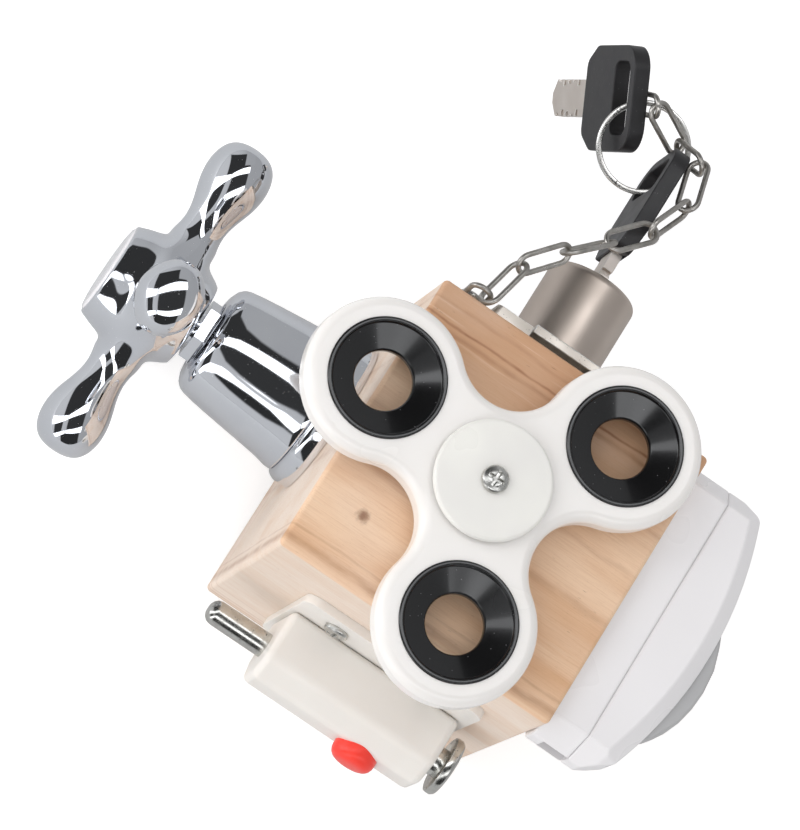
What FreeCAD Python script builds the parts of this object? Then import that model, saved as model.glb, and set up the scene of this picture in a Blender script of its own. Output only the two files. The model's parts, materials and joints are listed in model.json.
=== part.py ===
import FreeCAD, Part
import math
import os

os.makedirs("parts", exist_ok=True)
V = FreeCAD.Vector

# Millimetres. The origin is the middle of the cube's back face, +Z leads to the spinner,
# -X to the tap, +X to the switch, +Y to the lock and -Y to the latch.

# Clearances
FIT = 0.05
GAP = 0.3
EASE = 0.1

# Wooden cube
CUBE = 60.0
CUBE_EDGE = 1.0
HALF = CUBE / 2

# Hand spinner
SPIN_X, SPIN_Y = -4.1, -0.4
SPIN_FLOAT = 1.8
SPIN_THICK = 6.8
SPIN_EDGE = 2.1
LOBE_COUNT = 3
LOBE_TURN = 48.7
LOBE_PITCH = 26.8
LOBE_RADIUS = 15.4
WAIST_RADIUS = 14.3
BEARING_RADIUS = 11.0
BEARING_BORE = 4.0
BEARING_WIDTH = 7.0
BALL_RADIUS = 2.0
BALL_COUNT = 7
RACE_WALL = 2.4
CAGE_WALL = 1.0
WEIGHT_LIP_RADIUS = 11.4
WEIGHT_LIP = 0.4
WEIGHT_MOUTH = 10.6
WEIGHT_HOLE = 5.6
WEIGHT_LAND = 0.5
CAP_RADIUS = 11.4
CAP_THICK = 1.8
CAP_LIFT = 0.5
SPIN_SCREW_RADIUS = 2.0
SPIN_SCREW_DEPTH = 20.0

# Cross-handle tap
TAP_Y, TAP_Z = 4.3, 27.5
FLANGE_RADIUS = 15.5
FLANGE_THICK = 4.6
SHROUD_BASE = 14.3
SHROUD_TOP = 12.0
SHROUD_LENGTH = 24.4
SHOULDER = 3.0
SHROUD_WALL = 2.2
TAIL_RADIUS = 6.0
TAIL_LENGTH = 16.0
VALVE_RADIUS = 8.6
HEX_RADIUS = 6.4
HEX_START = 26.4
NECK_END = 31.2
SPINDLE_RADIUS = 3.4
SPINDLE_SQUARE = 4.6
HUB_START = 32.0
HUB_RADIUS = 11.4
HUB_MIDDLE = 40.6
HUB_RISE = 10.4
HUB_END = HUB_MIDDLE + HUB_RISE
HUB_RIM = 9.7
BUTTON_RADIUS = 9.0
BUTTON_THICK = 1.6
ARM_COUNT = 4
ARM_TURN = 12.8
ARM_REACH = 27.6
ARM_BALL = 6.9
ARM_NECK = 3.1
ARM_NECK_AT = 13.0

# Cylinder lock
LOCK_X, LOCK_Z = -2.5, 38.5
PLATE_LEFT, PLATE_RIGHT = -18.9, 16.4
PLATE_FRONT = 58.5
PLATE_BACK = 13.5
PLATE_THICK = 2.2
CYLINDER_RADIUS = 9.2
CYLINDER_LENGTH = 20.3
CYLINDER_EDGE = 1.2
SPIGOT_RADIUS = 7.0
PLUG_RADIUS = 5.2
BOLT_X = -1.5
BOLT_WIDTH = 18.2
BOLT_THICK = 3.0
BOLT_NOSE = 1.8
BOLT_NOSE_RISE = 1.3
BOLT_END = 57.5
NOTCH_LENGTH = 9.0
CASE_LENGTH = 34.0
SCREW_INSET_X, SCREW_INSET_Z = 4.0, 4.5
BOLT_THROW = 3.2
CASE_WALL = 1.2
CAM_PIN_RADIUS = 1.0
KEY_TURN = 45.0
WAFER_COUNT = 5
WAFER_THICK = 0.8
WAFER_PITCH = 1.7

# Keys
HEAD_LENGTH = 23.5
HEAD_WIDTH = 20.6
HEAD_THICK = 3.3
HEAD_SHOULDER = 4.5
HEAD_NECK = 14.4
HEAD_CORNER = 5.0
HEAD_ROUND = 2.4
SLOT_INSET = 6.0
SLOT_LENGTH = 14.3
SLOT_WIDTH = 7.2
BLADE_WIDTH = 7.3
BLADE_THICK = 2.2
BLADE_REACH = 17.2
BLADE_ROOT = 6.0
BLADE_CUTS = 5
KEY_SLOT_Y = 76.9

# Spare key, hung on the ring's far side
SPARE_DOWN = (-0.215, 0.135, -0.967)
SPARE_FLAT = (0.853, 0.509, -0.119)
SPARE_SLOT = (-16.1, 88.4, 37.1)

# Split ring
RING_CENTRE = (-8.1, 82.9, 34.9)
RING_NORMAL = (-0.123, -0.290, 0.949)
RING_RADIUS = 8.65
RING_WIRE = 1.1
RING_PITCH = 1.25
RING_TURNS = 1.75

# Chain
LINK_LENGTH = 12.4
LINK_WIDTH = 5.2
LINK_WIRE = 1.08
ANCHOR = (-22.9, 31.6, 54.2)
ANCHOR_TILT = 9.0
ANCHOR_SCREW_RADIUS = 1.25

# In-line switch
SWITCH_Z = 47.8
SWITCH_WIDTH = 17.0
SWITCH_LOW, SWITCH_HIGH = -30.5, 30.0
SWITCH_SPLIT = 8.3
SWITCH_CROWN = 21.0
SWITCH_SHOULDER = 16.0
SWITCH_BEVEL = 3.4
SWITCH_BEVEL_WIDTH = 4.0
SWITCH_CORNER_Y, SWITCH_CORNER_Z = 4.1, 5.8
SWITCH_WALL = 1.8
ROCKER_Y = -6.0
ROCKER_RISE = 15.0
ROCKER_HALF = 14.2
ROCKER_WIDTH = 7.4
ROCKER_PIN_RADIUS = 1.0
CABLE_WIDTH, CABLE_HEIGHT = 4.9, 5.6
SWITCH_SCREW_INSET = 11.5

# Bolt latch
LATCH_X = 1.5
LATCH_Z = 25.5
LATCH_Y = -38.9
LATCH_LENGTH = 38.0
LATCH_FLANGE = (-18.0, 22.0, 7.0, 44.0)
LATCH_FLANGE_THICK = 1.8
LATCH_BODY_LOW, LATCH_BODY_HIGH = 17.0, 33.6
LATCH_TOP = -46.0
LATCH_BEVEL = 4.0
PIN_RADIUS = 2.5
PIN_REACH = 13.0
KNOB_RADIUS = 6.0
KNOB_THICK = 2.2
KNOB_GAP = 2.0
NECK_RADIUS = 3.0
LATCH_SCREW_INSET_X = 8.7
LATCH_SCREW_INSET_Z = 6.0
CHAMBER_RADIUS = 4.1
CHAMBER_INSET = 2.3
CHAMBER_LENGTH = 14.2
COLLAR_THICK = 1.5
SPRING_WIRE = 0.5
SPRING_TURNS = 7
PUSH_X = 7.7
PUSH_RADIUS = 4.5
PUSH_RISE = 3.2
PUSH_WELL = 4.0
PUSH_WIRE = 0.4
PUSH_TURNS = 2


# Shared shapes

def box(x, y, z):
    """Block between pairs of limits along X, Y and Z."""
    return Part.makeBox(x[1] - x[0], y[1] - y[0], z[1] - z[0], V(x[0], y[0], z[0]))


def rod(radius, start, axis, length):
    """Cylinder that leaves start along axis."""
    return Part.makeCylinder(radius, length, V(*start), V(*axis))


def turned(profile):
    """Solid turned about Z from points of radius and height."""
    points = [V(radius, 0, height) for radius, height in profile]
    face = Part.Face(Part.makePolygon(points + points[:1]))
    return sound(face.revolve(V(0, 0, 0), V(0, 0, 1), 360))


def sound(shape):
    """The shape with its faces outwards."""
    if shape.Volume < 0:
        shape.reverse()
    return shape


def aimed(shape, start, axis, across=None):
    """Stands a shape made along +Z at start, along axis, its +X as near as can be to across."""
    along = V(*axis)
    side = V(*across) if across else (V(0, 0, 1) if abs(along.z) < 0.9 else V(1, 0, 0))
    turn = FreeCAD.Rotation(side, V(), along, "ZXY")
    moved = shape.copy()
    moved.Placement = FreeCAD.Placement(V(*start), turn).multiply(shape.Placement)
    return moved


def ring_of(shape, count, centre, axis, first=0.0):
    """Copies of a shape spaced evenly about an axis."""
    copies = []
    for index in range(count):
        copy = shape.copy()
        copy.rotate(V(*centre), V(*axis), first + 360.0 * index / count)
        copies.append(copy)
    return copies


def joined(shapes):
    """One solid from shapes that meet."""
    return shapes[0].fuse(shapes[1:]).removeSplitter()


def pan_screw(head_radius, head_height, shank_radius, shank_length):
    """Pan-head screw with a cross recess and a point, its head seated on z = 0."""
    point = 1.6 * shank_radius
    side = 0.5 * head_height
    profile = [(0, head_height), (0.55 * head_radius, head_height), (0.9 * head_radius, 0.75 * head_height),
               (head_radius, side), (head_radius, 0), (shank_radius, 0),
               (shank_radius, point - shank_length), (0, -shank_length)]
    return recessed(turned(profile), head_radius, head_height)


def flush_screw(head_radius, head_depth, shank_radius, shank_length):
    """Countersunk screw with a cross recess and a point, its head's face at z = 0."""
    point = 1.6 * shank_radius
    profile = [(0, 0), (head_radius, 0), (shank_radius, -head_depth),
               (shank_radius, point - shank_length), (0, -shank_length)]
    return recessed(turned(profile), head_radius, 0)


def recessed(screw, head_radius, top):
    """A screw with the cross recess cut in its head."""
    arm = 0.6 * head_radius
    half = 0.13 * head_radius
    depth = 0.35 * head_radius
    for x, y in ((arm, half), (half, arm)):
        screw = screw.cut(box((-x, x), (-y, y), (top - depth, top + 1)))
    return screw


def screw_hole(shank_radius, shank_length, reach=1.0):
    """The hole for a screw seated on z = 0, open above it."""
    return rod(shank_radius + FIT, (0, 0, -shank_length - EASE), (0, 0, 1), shank_length + EASE + reach)


# Hand spinner

SPIN_BACK = CUBE + SPIN_FLOAT
SPIN_MIDDLE = SPIN_BACK + SPIN_THICK / 2
RACE_BACK = SPIN_MIDDLE - BEARING_WIDTH / 2
RACE_FACE = SPIN_MIDDLE + BEARING_WIDTH / 2
BALL_PITCH = (BEARING_BORE + BEARING_RADIUS) / 2
CAP_FACE = RACE_FACE + CAP_LIFT + CAP_THICK
LOBES = [LOBE_TURN + 360.0 * index / LOBE_COUNT for index in range(LOBE_COUNT)]


def polar(radius, degrees):
    """Point in the plane at a radius and an angle."""
    return V(radius * math.cos(math.radians(degrees)), radius * math.sin(math.radians(degrees)), 0)


def spinner_outline():
    """Round lobes joined by hollow waists that touch them."""
    half_step = 180.0 / LOBE_COUNT
    excess = LOBE_RADIUS - WAIST_RADIUS
    hollow_at = (LOBE_PITCH ** 2 - excess ** 2) / (2 * excess + 2 * LOBE_PITCH * math.cos(math.radians(half_step)))
    hollow = hollow_at - WAIST_RADIUS
    edges = []
    for turn in LOBES:
        lobe = polar(LOBE_PITCH, turn)
        before = polar(hollow_at, turn - half_step)
        after = polar(hollow_at, turn + half_step)
        following = polar(LOBE_PITCH, turn + 2 * half_step)
        share = LOBE_RADIUS / (LOBE_RADIUS + hollow)
        enter = lobe + (before - lobe) * share
        leave = lobe + (after - lobe) * share
        again = following + (after - following) * share
        edges.append(Part.Arc(enter, polar(LOBE_PITCH + LOBE_RADIUS, turn), leave).toShape())
        edges.append(Part.Arc(leave, polar(WAIST_RADIUS, turn + half_step), again).toShape())
    return Part.Wire(edges)


def spinner():
    """Body, three weight rings, bearing, spacer, cap and screw."""
    hub = V(SPIN_X, SPIN_Y, 0)
    body = Part.Face(spinner_outline()).extrude(V(0, 0, SPIN_THICK))
    rims = [edge for edge in body.Edges if edge.BoundBox.ZLength < 0.01]
    body = body.makeFillet(SPIN_EDGE, rims)
    body = body.cut(rod(BEARING_RADIUS, (0, 0, -1), (0, 0, 1), SPIN_THICK + 2))
    for turn in LOBES:
        lobe = polar(LOBE_PITCH, turn)
        body = body.cut(rod(BEARING_RADIUS, (lobe.x, lobe.y, -1), (0, 0, 1), SPIN_THICK + 2))
    body.translate(hub + V(0, 0, SPIN_BACK))

    half = SPIN_THICK / 2
    weight = turned([(WEIGHT_HOLE, WEIGHT_LAND), (WEIGHT_MOUTH, half + WEIGHT_LIP),
                     (WEIGHT_LIP_RADIUS, half + WEIGHT_LIP), (WEIGHT_LIP_RADIUS, half), (BEARING_RADIUS, half),
                     (BEARING_RADIUS, -half), (WEIGHT_MOUTH, -half), (WEIGHT_HOLE, -WEIGHT_LAND)])
    pieces = {"spinner_body": body}
    for index, turn in enumerate(LOBES):
        ring = weight.copy()
        ring.translate(hub + polar(LOBE_PITCH, turn) + V(0, 0, SPIN_MIDDLE))
        pieces["spinner_weight_%d" % (index + 1)] = ring

    wide = BEARING_WIDTH / 2
    groove = Part.makeTorus(BALL_PITCH, BALL_RADIUS + FIT)
    inner_wall = BEARING_BORE + RACE_WALL
    outer_wall = BEARING_RADIUS - RACE_WALL
    inner = turned([(BEARING_BORE, -wide), (inner_wall, -wide), (inner_wall, wide), (BEARING_BORE, wide)])
    outer = turned([(outer_wall, -wide), (BEARING_RADIUS, -wide), (BEARING_RADIUS, wide), (outer_wall, wide)])
    ball = Part.makeSphere(BALL_RADIUS, V(BALL_PITCH, 0, 0))
    balls = ring_of(ball, BALL_COUNT, (0, 0, 0), (0, 0, 1))
    pocket = rod(BALL_RADIUS + FIT, (0, 0, 0), (1, 0, 0), BEARING_RADIUS)
    half_cage = CAGE_WALL / 2
    tall = BALL_RADIUS + 0.6
    cage = turned([(BALL_PITCH - half_cage, -tall), (BALL_PITCH + half_cage, -tall),
                   (BALL_PITCH + half_cage, tall), (BALL_PITCH - half_cage, tall)])
    cage.rotate(V(0, 0, 0), V(0, 0, 1), 180 / BALL_COUNT)
    cage = cage.cut(Part.makeCompound(ring_of(pocket, BALL_COUNT, (0, 0, 0), (0, 0, 1))))
    bearing = {"bearing_inner_race": inner.cut(groove), "bearing_outer_race": outer.cut(groove),
               "bearing_balls": Part.makeCompound(balls), "bearing_cage": cage}
    for name, shape in bearing.items():
        shape.translate(hub + V(0, 0, SPIN_MIDDLE))
        pieces[name] = shape

    bush = BEARING_BORE - FIT
    bore = SPIN_SCREW_RADIUS + EASE
    face = inner_wall - GAP
    spacer = turned([(bore, CUBE), (face, CUBE), (face, RACE_BACK), (bush, RACE_BACK),
                     (bush, SPIN_MIDDLE - GAP), (bore, SPIN_MIDDLE - GAP)])
    disc = RACE_FACE + CAP_LIFT
    cap = turned([(bore, SPIN_MIDDLE + GAP), (bush, SPIN_MIDDLE + GAP), (bush, RACE_FACE), (face, RACE_FACE),
                  (face, disc), (CAP_RADIUS - 0.3, disc), (CAP_RADIUS, disc + 0.4), (CAP_RADIUS, CAP_FACE - 0.6),
                  (CAP_RADIUS - 0.6, CAP_FACE), (bore, CAP_FACE)])
    depth = CAP_FACE - CUBE + SPIN_SCREW_DEPTH
    screw = pan_screw(2.6, 1.4, SPIN_SCREW_RADIUS, depth)
    for name, shape, lift in (("spinner_spacer", spacer, 0), ("spinner_cap", cap, 0),
                              ("spinner_screw", screw, CAP_FACE)):
        shape.translate(hub + V(0, 0, lift))
        pieces[name] = shape
    hole = screw_hole(SPIN_SCREW_RADIUS, SPIN_SCREW_DEPTH)
    return pieces, [aimed(hole, (SPIN_X, SPIN_Y, CUBE), (0, 0, 1))]


# Cross-handle tap, made with the wall at z = 0 and +Z leading out of it

def hexagon(radius, low, high):
    """Six-sided bar between two heights."""
    points = [polar(radius, 60 * corner) + V(0, 0, low) for corner in range(7)]
    return Part.Face(Part.makePolygon(points)).extrude(V(0, 0, high - low))


def tap_arm():
    """One arm along +X: a thin neck that swells into a ball."""
    slope = math.asin((ARM_BALL - ARM_NECK) / (ARM_REACH - ARM_NECK_AT))
    touch = V(ARM_REACH - ARM_BALL * math.sin(slope), 0, ARM_BALL * math.cos(slope))
    corners = [V(0, 0, 0), V(0, 0, ARM_NECK), V(ARM_NECK_AT - 1.0, 0, ARM_NECK), V(ARM_NECK_AT, 0, ARM_NECK), touch]
    tip = V(ARM_REACH + ARM_BALL, 0, 0)
    bulge = V(ARM_REACH + ARM_BALL * math.cos(math.radians(45)), 0, ARM_BALL * math.sin(math.radians(45)))
    edges = [Part.makeLine(a, b) for a, b in zip(corners, corners[1:])]
    edges.append(Part.Arc(touch, bulge, tip).toShape())
    edges.append(Part.makeLine(tip, V(0, 0, 0)))
    face = Part.Face(Part.Wire(edges))
    return sound(face.revolve(V(0, 0, 0), V(1, 0, 0), 360))


def tap():
    """Flange, shroud, valve body, gland nut, spindle, handle, screw and button."""
    flange = turned([(VALVE_RADIUS + GAP, 0), (FLANGE_RADIUS, 0), (FLANGE_RADIUS, FLANGE_THICK - 0.8),
                     (FLANGE_RADIUS - 0.8, FLANGE_THICK), (VALVE_RADIUS + GAP, FLANGE_THICK)])
    top = FLANGE_THICK + SHROUD_LENGTH - SHOULDER
    crown = top + SHOULDER
    shroud = turned([(SHROUD_BASE - SHROUD_WALL, FLANGE_THICK), (SHROUD_BASE, FLANGE_THICK),
                     (SHROUD_BASE, FLANGE_THICK + 1.2), (SHROUD_BASE - 0.9, 13.0), (SHROUD_BASE - 1.3, 16.0),
                     (SHROUD_TOP + 0.5, 20.5), (SHROUD_TOP, 24.0), (SHROUD_TOP - 0.5, top + 0.8),
                     (SHROUD_TOP - 1.6, top + 2.0), (SHROUD_TOP - 3.4, crown - 0.2), (SHROUD_TOP - 4.4, crown),
                     (HEX_RADIUS + GAP, crown), (HEX_RADIUS + GAP, HEX_START),
                     (SHROUD_TOP - SHROUD_WALL, HEX_START)])

    tail_end = -TAIL_LENGTH
    socket = SPINDLE_RADIUS + 2.2
    valve = turned([(0, tail_end), (TAIL_RADIUS - 1, tail_end), (TAIL_RADIUS, tail_end + 1), (TAIL_RADIUS, 0),
                    (VALVE_RADIUS, 0), (VALVE_RADIUS, HEX_START - 2.4), (socket, HEX_START - 2.4),
                    (socket, 10.0), (0, 10.0)])
    nut_bore = SPINDLE_RADIUS + FIT
    nut = joined([rod(VALVE_RADIUS, (0, 0, HEX_START - 2.4), (0, 0, 1), 2.1),
                  hexagon(HEX_RADIUS, HEX_START - 0.3, NECK_END)])
    nut = nut.cut(rod(nut_bore, (0, 0, 0), (0, 0, 1), HUB_END))
    collar = socket - 0.1
    stop = HEX_START - 2.4 - GAP
    square_start = HUB_START + 2.0
    square_end = HUB_MIDDLE + 4.0
    half = SPINDLE_SQUARE / 2
    spindle = turned([(0, 10.0 + GAP), (collar, 10.0 + GAP), (collar, stop), (SPINDLE_RADIUS, stop),
                      (SPINDLE_RADIUS, square_start), (0, square_start)])
    spindle = joined([spindle, box((-half, half), (-half, half), (square_start - 0.5, square_end))])
    screw_radius = 1.5
    spindle = spindle.cut(rod(screw_radius + FIT, (0, 0, square_end - 8), (0, 0, 1), 10))

    shelf = square_end + 0.6
    button_seat = HUB_END - BUTTON_THICK + 0.5
    hub = turned([(0, HUB_START), (HUB_RIM - 1.4, HUB_START), (HUB_RIM + 0.3, HUB_START + 3.2),
                  (HUB_RADIUS, HUB_MIDDLE - 2.4), (HUB_RADIUS, HUB_MIDDLE + 3.2), (HUB_RADIUS - 0.6, HUB_END - 4.6),
                  (HUB_RIM, HUB_END), (BUTTON_RADIUS + EASE, HUB_END), (BUTTON_RADIUS + EASE, button_seat),
                  (5.0, button_seat), (5.0, shelf), (0, shelf)])
    arm = tap_arm()
    arm.translate(V(0, 0, HUB_MIDDLE))
    arms = ring_of(arm, ARM_COUNT, (0, 0, 0), (0, 0, 1))
    handle = joined([hub] + arms)
    slack = half + FIT
    handle = handle.cut(box((-slack, slack), (-slack, slack), (square_start - EASE, HUB_END)))
    handle = handle.cut(rod(SPINDLE_RADIUS + EASE, (0, 0, 0), (0, 0, 1), square_start + EASE))
    handle = handle.cut(rod(5.0, (0, 0, shelf), (0, 0, 1), HUB_END))
    button = turned([(0, button_seat), (BUTTON_RADIUS, button_seat), (BUTTON_RADIUS, HUB_END + 0.1),
                     (BUTTON_RADIUS - 1.0, HUB_END + 0.5), (0, HUB_END + 0.6)])
    screw = pan_screw(3.6, 2.4, screw_radius, 7.0)
    screw.translate(V(0, 0, shelf))

    local = {"tap_flange": flange, "tap_shroud": shroud, "tap_valve": valve, "tap_gland_nut": nut,
             "tap_spindle": spindle, "tap_handle": handle, "tap_button": button, "tap_handle_screw": screw}
    # Local X is +Y of the cube, so that the arms' turn is counted from +Y towards +Z
    pieces = {}
    for name, shape in local.items():
        placed = aimed(shape, (-HALF, TAP_Y, TAP_Z), (-1, 0, 0), (0, 1, 0))
        if name in ("tap_spindle", "tap_handle", "tap_button", "tap_handle_screw"):
            placed.rotate(V(-HALF, TAP_Y, TAP_Z), V(1, 0, 0), ARM_TURN)
        pieces[name] = placed
    hole = rod(TAIL_RADIUS + EASE, (0, 0, -TAIL_LENGTH - GAP), (0, 0, 1), TAIL_LENGTH + GAP + 1)
    return pieces, [aimed(hole, (-HALF, TAP_Y, TAP_Z), (-1, 0, 0))]


# Cylinder lock

PLATE_TOP = HALF + PLATE_THICK
CYLINDER_TOP = PLATE_TOP + CYLINDER_LENGTH
BOLT_TOP = HALF - 2 * GAP
BOLT_LOW = BOLT_TOP - BOLT_THICK
CAM_OFFSET = BOLT_THROW / (2 * math.sin(math.radians(KEY_TURN / 2)))
CAM_START = V(CAM_OFFSET * math.cos(math.radians(KEY_TURN / 2)), 0, -BOLT_THROW / 2)
KEY_OUT_Y = KEY_SLOT_Y + SLOT_INSET
BLADE_TIP_Y = KEY_OUT_Y - HEAD_LENGTH - BLADE_REACH


def lock():
    """Plate, case, cylinder, plug, wafers, bolt and the plate's screws."""
    bolt_half = BOLT_WIDTH / 2
    notch_back = BOLT_END - NOTCH_LENGTH
    plate = box((PLATE_LEFT, PLATE_RIGHT), (HALF, PLATE_TOP), (PLATE_BACK, PLATE_FRONT))
    upright = [edge for edge in plate.Edges if abs(edge.BoundBox.YLength - PLATE_THICK) < 0.01]
    plate = plate.makeFillet(1.0, upright)
    notch_x = (BOLT_X - bolt_half - GAP, BOLT_X + bolt_half + GAP)
    plate = plate.cut(box(notch_x, (HALF - 1, PLATE_TOP + 1), (notch_back, CUBE)))
    plate = plate.cut(rod(SPIGOT_RADIUS + FIT, (LOCK_X, HALF - 1, LOCK_Z), (0, 1, 0), PLATE_THICK + 2))

    case_x = (notch_x[0] - CASE_WALL, notch_x[1] + CASE_WALL)
    case_low = BOLT_LOW - GAP - CASE_WALL
    case_z = (BOLT_END - CASE_LENGTH, BOLT_END)
    case = box(case_x, (case_low, HALF), case_z)
    case = case.cut(box(notch_x, (BOLT_LOW - GAP, HALF + 1), (case_z[0] + CASE_WALL, case_z[1] - CASE_WALL)))

    profile = [(PLUG_RADIUS + FIT, HALF), (SPIGOT_RADIUS, HALF), (SPIGOT_RADIUS, PLATE_TOP),
               (CYLINDER_RADIUS, PLATE_TOP), (CYLINDER_RADIUS, CYLINDER_TOP - CYLINDER_EDGE),
               (CYLINDER_RADIUS - 0.35 * CYLINDER_EDGE, CYLINDER_TOP - 0.35 * CYLINDER_EDGE),
               (CYLINDER_RADIUS - CYLINDER_EDGE, CYLINDER_TOP), (PLUG_RADIUS + FIT, CYLINDER_TOP)]
    cylinder = aimed(turned(profile), (LOCK_X, 0, LOCK_Z), (0, 1, 0))
    plug = aimed(turned([(0, BOLT_TOP + EASE), (PLUG_RADIUS, BOLT_TOP + EASE), (PLUG_RADIUS, CYLINDER_TOP + 0.2),
                         (0, CYLINDER_TOP + 0.2)]), (LOCK_X, 0, LOCK_Z), (0, 1, 0))
    pin_y = BOLT_LOW + EASE
    pin_at = V(LOCK_X, pin_y, LOCK_Z) + CAM_START
    pin = rod(CAM_PIN_RADIUS, pin_at, (0, 1, 0), BOLT_TOP + 1 - pin_y)
    plug = plug.fuse(pin)
    slack_x = BLADE_THICK / 2 + EASE
    slack_z = BLADE_WIDTH / 2 + EASE
    keyway = box((LOCK_X - slack_x, LOCK_X + slack_x), (BLADE_TIP_Y - 0.5, CYLINDER_TOP + 1),
                 (LOCK_Z - slack_z, LOCK_Z + slack_z))
    plug = plug.cut(keyway)
    wafer_x, wafer_z = 1.9, 4.5
    wafers = []
    for index in range(WAFER_COUNT):
        low = BLADE_TIP_Y + 1.4 + WAFER_PITCH * index
        level = (low, low + WAFER_THICK)
        wafer = box((LOCK_X - wafer_x, LOCK_X + wafer_x), level, (LOCK_Z - wafer_z, LOCK_Z + wafer_z))
        wafers.append(wafer.cut(keyway))
        room = box((LOCK_X - wafer_x - FIT, LOCK_X + wafer_x + FIT), (level[0] - FIT, level[1] + FIT),
                   (LOCK_Z - wafer_z - FIT, LOCK_Z + wafer_z + FIT))
        plug = plug.cut(room)

    slide_x = (BOLT_X - bolt_half, BOLT_X + bolt_half)
    slide_back = LOCK_Z - 9.0
    riser = (notch_back + 1.0, notch_back + 4.0)
    nose_y = (PLATE_TOP + BOLT_NOSE_RISE - BOLT_NOSE, PLATE_TOP + BOLT_NOSE_RISE)
    bolt = joined([box(slide_x, (BOLT_LOW, BOLT_TOP), (slide_back, riser[1])),
                   box(slide_x, (BOLT_LOW, nose_y[1]), riser),
                   box(slide_x, nose_y, (riser[0], BOLT_END))])
    slot_half = CAM_PIN_RADIUS + 0.25
    slot = box((pin_at.x - CAM_PIN_RADIUS - GAP, LOCK_X + CAM_OFFSET + CAM_PIN_RADIUS + GAP),
               (BOLT_LOW - 1, BOLT_TOP + 1), (pin_at.z - slot_half, pin_at.z + slot_half))
    bolt = bolt.cut(slot)

    screw_radius, screw_length = 1.25, 12.0
    screw = flush_screw(2.4, 1.2, screw_radius, screw_length)
    screws, holes = [], []
    for x in (PLATE_LEFT + SCREW_INSET_X, PLATE_RIGHT - SCREW_INSET_X):
        for z in (PLATE_BACK + SCREW_INSET_Z, PLATE_FRONT - SCREW_INSET_Z):
            placed = aimed(screw, (x, PLATE_TOP, z), (0, 1, 0))
            screws.append(placed)
            holes.append(rod(screw_radius + FIT, (x, PLATE_TOP - screw_length - EASE, z), (0, 1, 0), screw_length))
            plate = plate.cut(aimed(turned([(0, 0.5), (2.9, 0.5), (2.4 + FIT, 0), (screw_radius + FIT, -1.2),
                                            (screw_radius + FIT, -5.0), (0, -5.0)]), (x, PLATE_TOP, z), (0, 1, 0)))
    nose_room = box((notch_x[0], notch_x[1]), (HALF - 1.5, HALF + 1), (notch_back, BOLT_END))
    holes.append(box((case_x[0] - EASE, case_x[1] + EASE), (case_low - EASE, HALF + 1),
                     (case_z[0] - EASE, case_z[1] + EASE)))
    holes.append(nose_room)
    pieces = {"lock_plate": plate, "lock_case": case, "lock_cylinder": cylinder, "lock_plug": plug,
              "lock_wafers": Part.makeCompound(wafers), "lock_bolt": bolt,
              "lock_plate_screws": Part.makeCompound(screws)}
    return pieces, holes


# Keys, made with the head's outer end at z = 0, the blade along +Z and the flat facing +X

def key():
    """Blade and head of a key."""
    half = HEAD_WIDTH / 2
    neck = HEAD_NECK / 2
    points = [(-half, 0), (half, 0), (half, HEAD_LENGTH - HEAD_SHOULDER), (neck, HEAD_LENGTH),
              (-neck, HEAD_LENGTH), (-half, HEAD_LENGTH - HEAD_SHOULDER)]
    corners = [V(-HEAD_THICK / 2, y, z) for y, z in points]
    head = sound(Part.Face(Part.makePolygon(corners + corners[:1])).extrude(V(HEAD_THICK, 0, 0)))
    through = [edge for edge in head.Edges if abs(edge.BoundBox.XLength - HEAD_THICK) < 0.01]
    outer = [edge for edge in through if edge.BoundBox.ZMax < HEAD_CORNER]
    head = head.makeFillet(HEAD_CORNER, outer)
    inner = [edge for edge in head.Edges if abs(edge.BoundBox.XLength - HEAD_THICK) < 0.01
             and edge.BoundBox.ZMin > HEAD_LENGTH - HEAD_SHOULDER - 0.1]
    head = sound(head.makeFillet(HEAD_ROUND, inner))
    slot_y = SLOT_LENGTH / 2
    slot_z = (SLOT_INSET - SLOT_WIDTH / 2, SLOT_INSET + SLOT_WIDTH / 2)
    slot = box((-HEAD_THICK, HEAD_THICK), (-slot_y, slot_y), slot_z)
    slot = slot.makeFillet(2.0, [edge for edge in slot.Edges if edge.BoundBox.XLength > HEAD_THICK])
    head = head.cut(slot)
    wide = BLADE_WIDTH / 2
    thick = BLADE_THICK / 2
    root = HEAD_LENGTH - BLADE_ROOT
    tip = HEAD_LENGTH + BLADE_REACH
    outline = [(-wide, root), (wide, root), (wide, tip - 2.0), (1.0, tip), (-1.0, tip), (-wide, tip - 2.0)]
    corners = [V(-thick, y, z) for y, z in outline]
    blade = Part.Face(Part.makePolygon(corners + corners[:1])).extrude(V(BLADE_THICK, 0, 0))
    head = head.cut(box((-thick, thick), (-wide, wide), (root, tip)))
    for cut in range(BLADE_CUTS):
        middle = tip - 3.2 - 2.4 * cut
        depth = 0.5 + 0.35 * ((cut * 2) % 3)
        for side in (-1, 1):
            edge = sorted((side * wide, side * (wide - depth)))
            blade = blade.cut(box((-2, 2), (edge[0] - EASE, edge[1] + EASE) if side > 0 else
                                  (edge[0] - EASE, edge[1]), (middle - 0.5, middle + 0.5)))
    return sound(blade), head


# Split ring

def unit(vector):
    """The vector at length 1."""
    return V(*vector).normalize()


def ring_axes():
    """Directions towards the inserted key, across, and along the ring's axis."""
    normal = unit(RING_NORMAL)
    to_key = V(LOCK_X, KEY_SLOT_Y, LOCK_Z - 5.3) - V(*RING_CENTRE)
    first = (to_key - normal * to_key.dot(normal)).normalize()
    return first, normal.cross(first), normal


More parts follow.
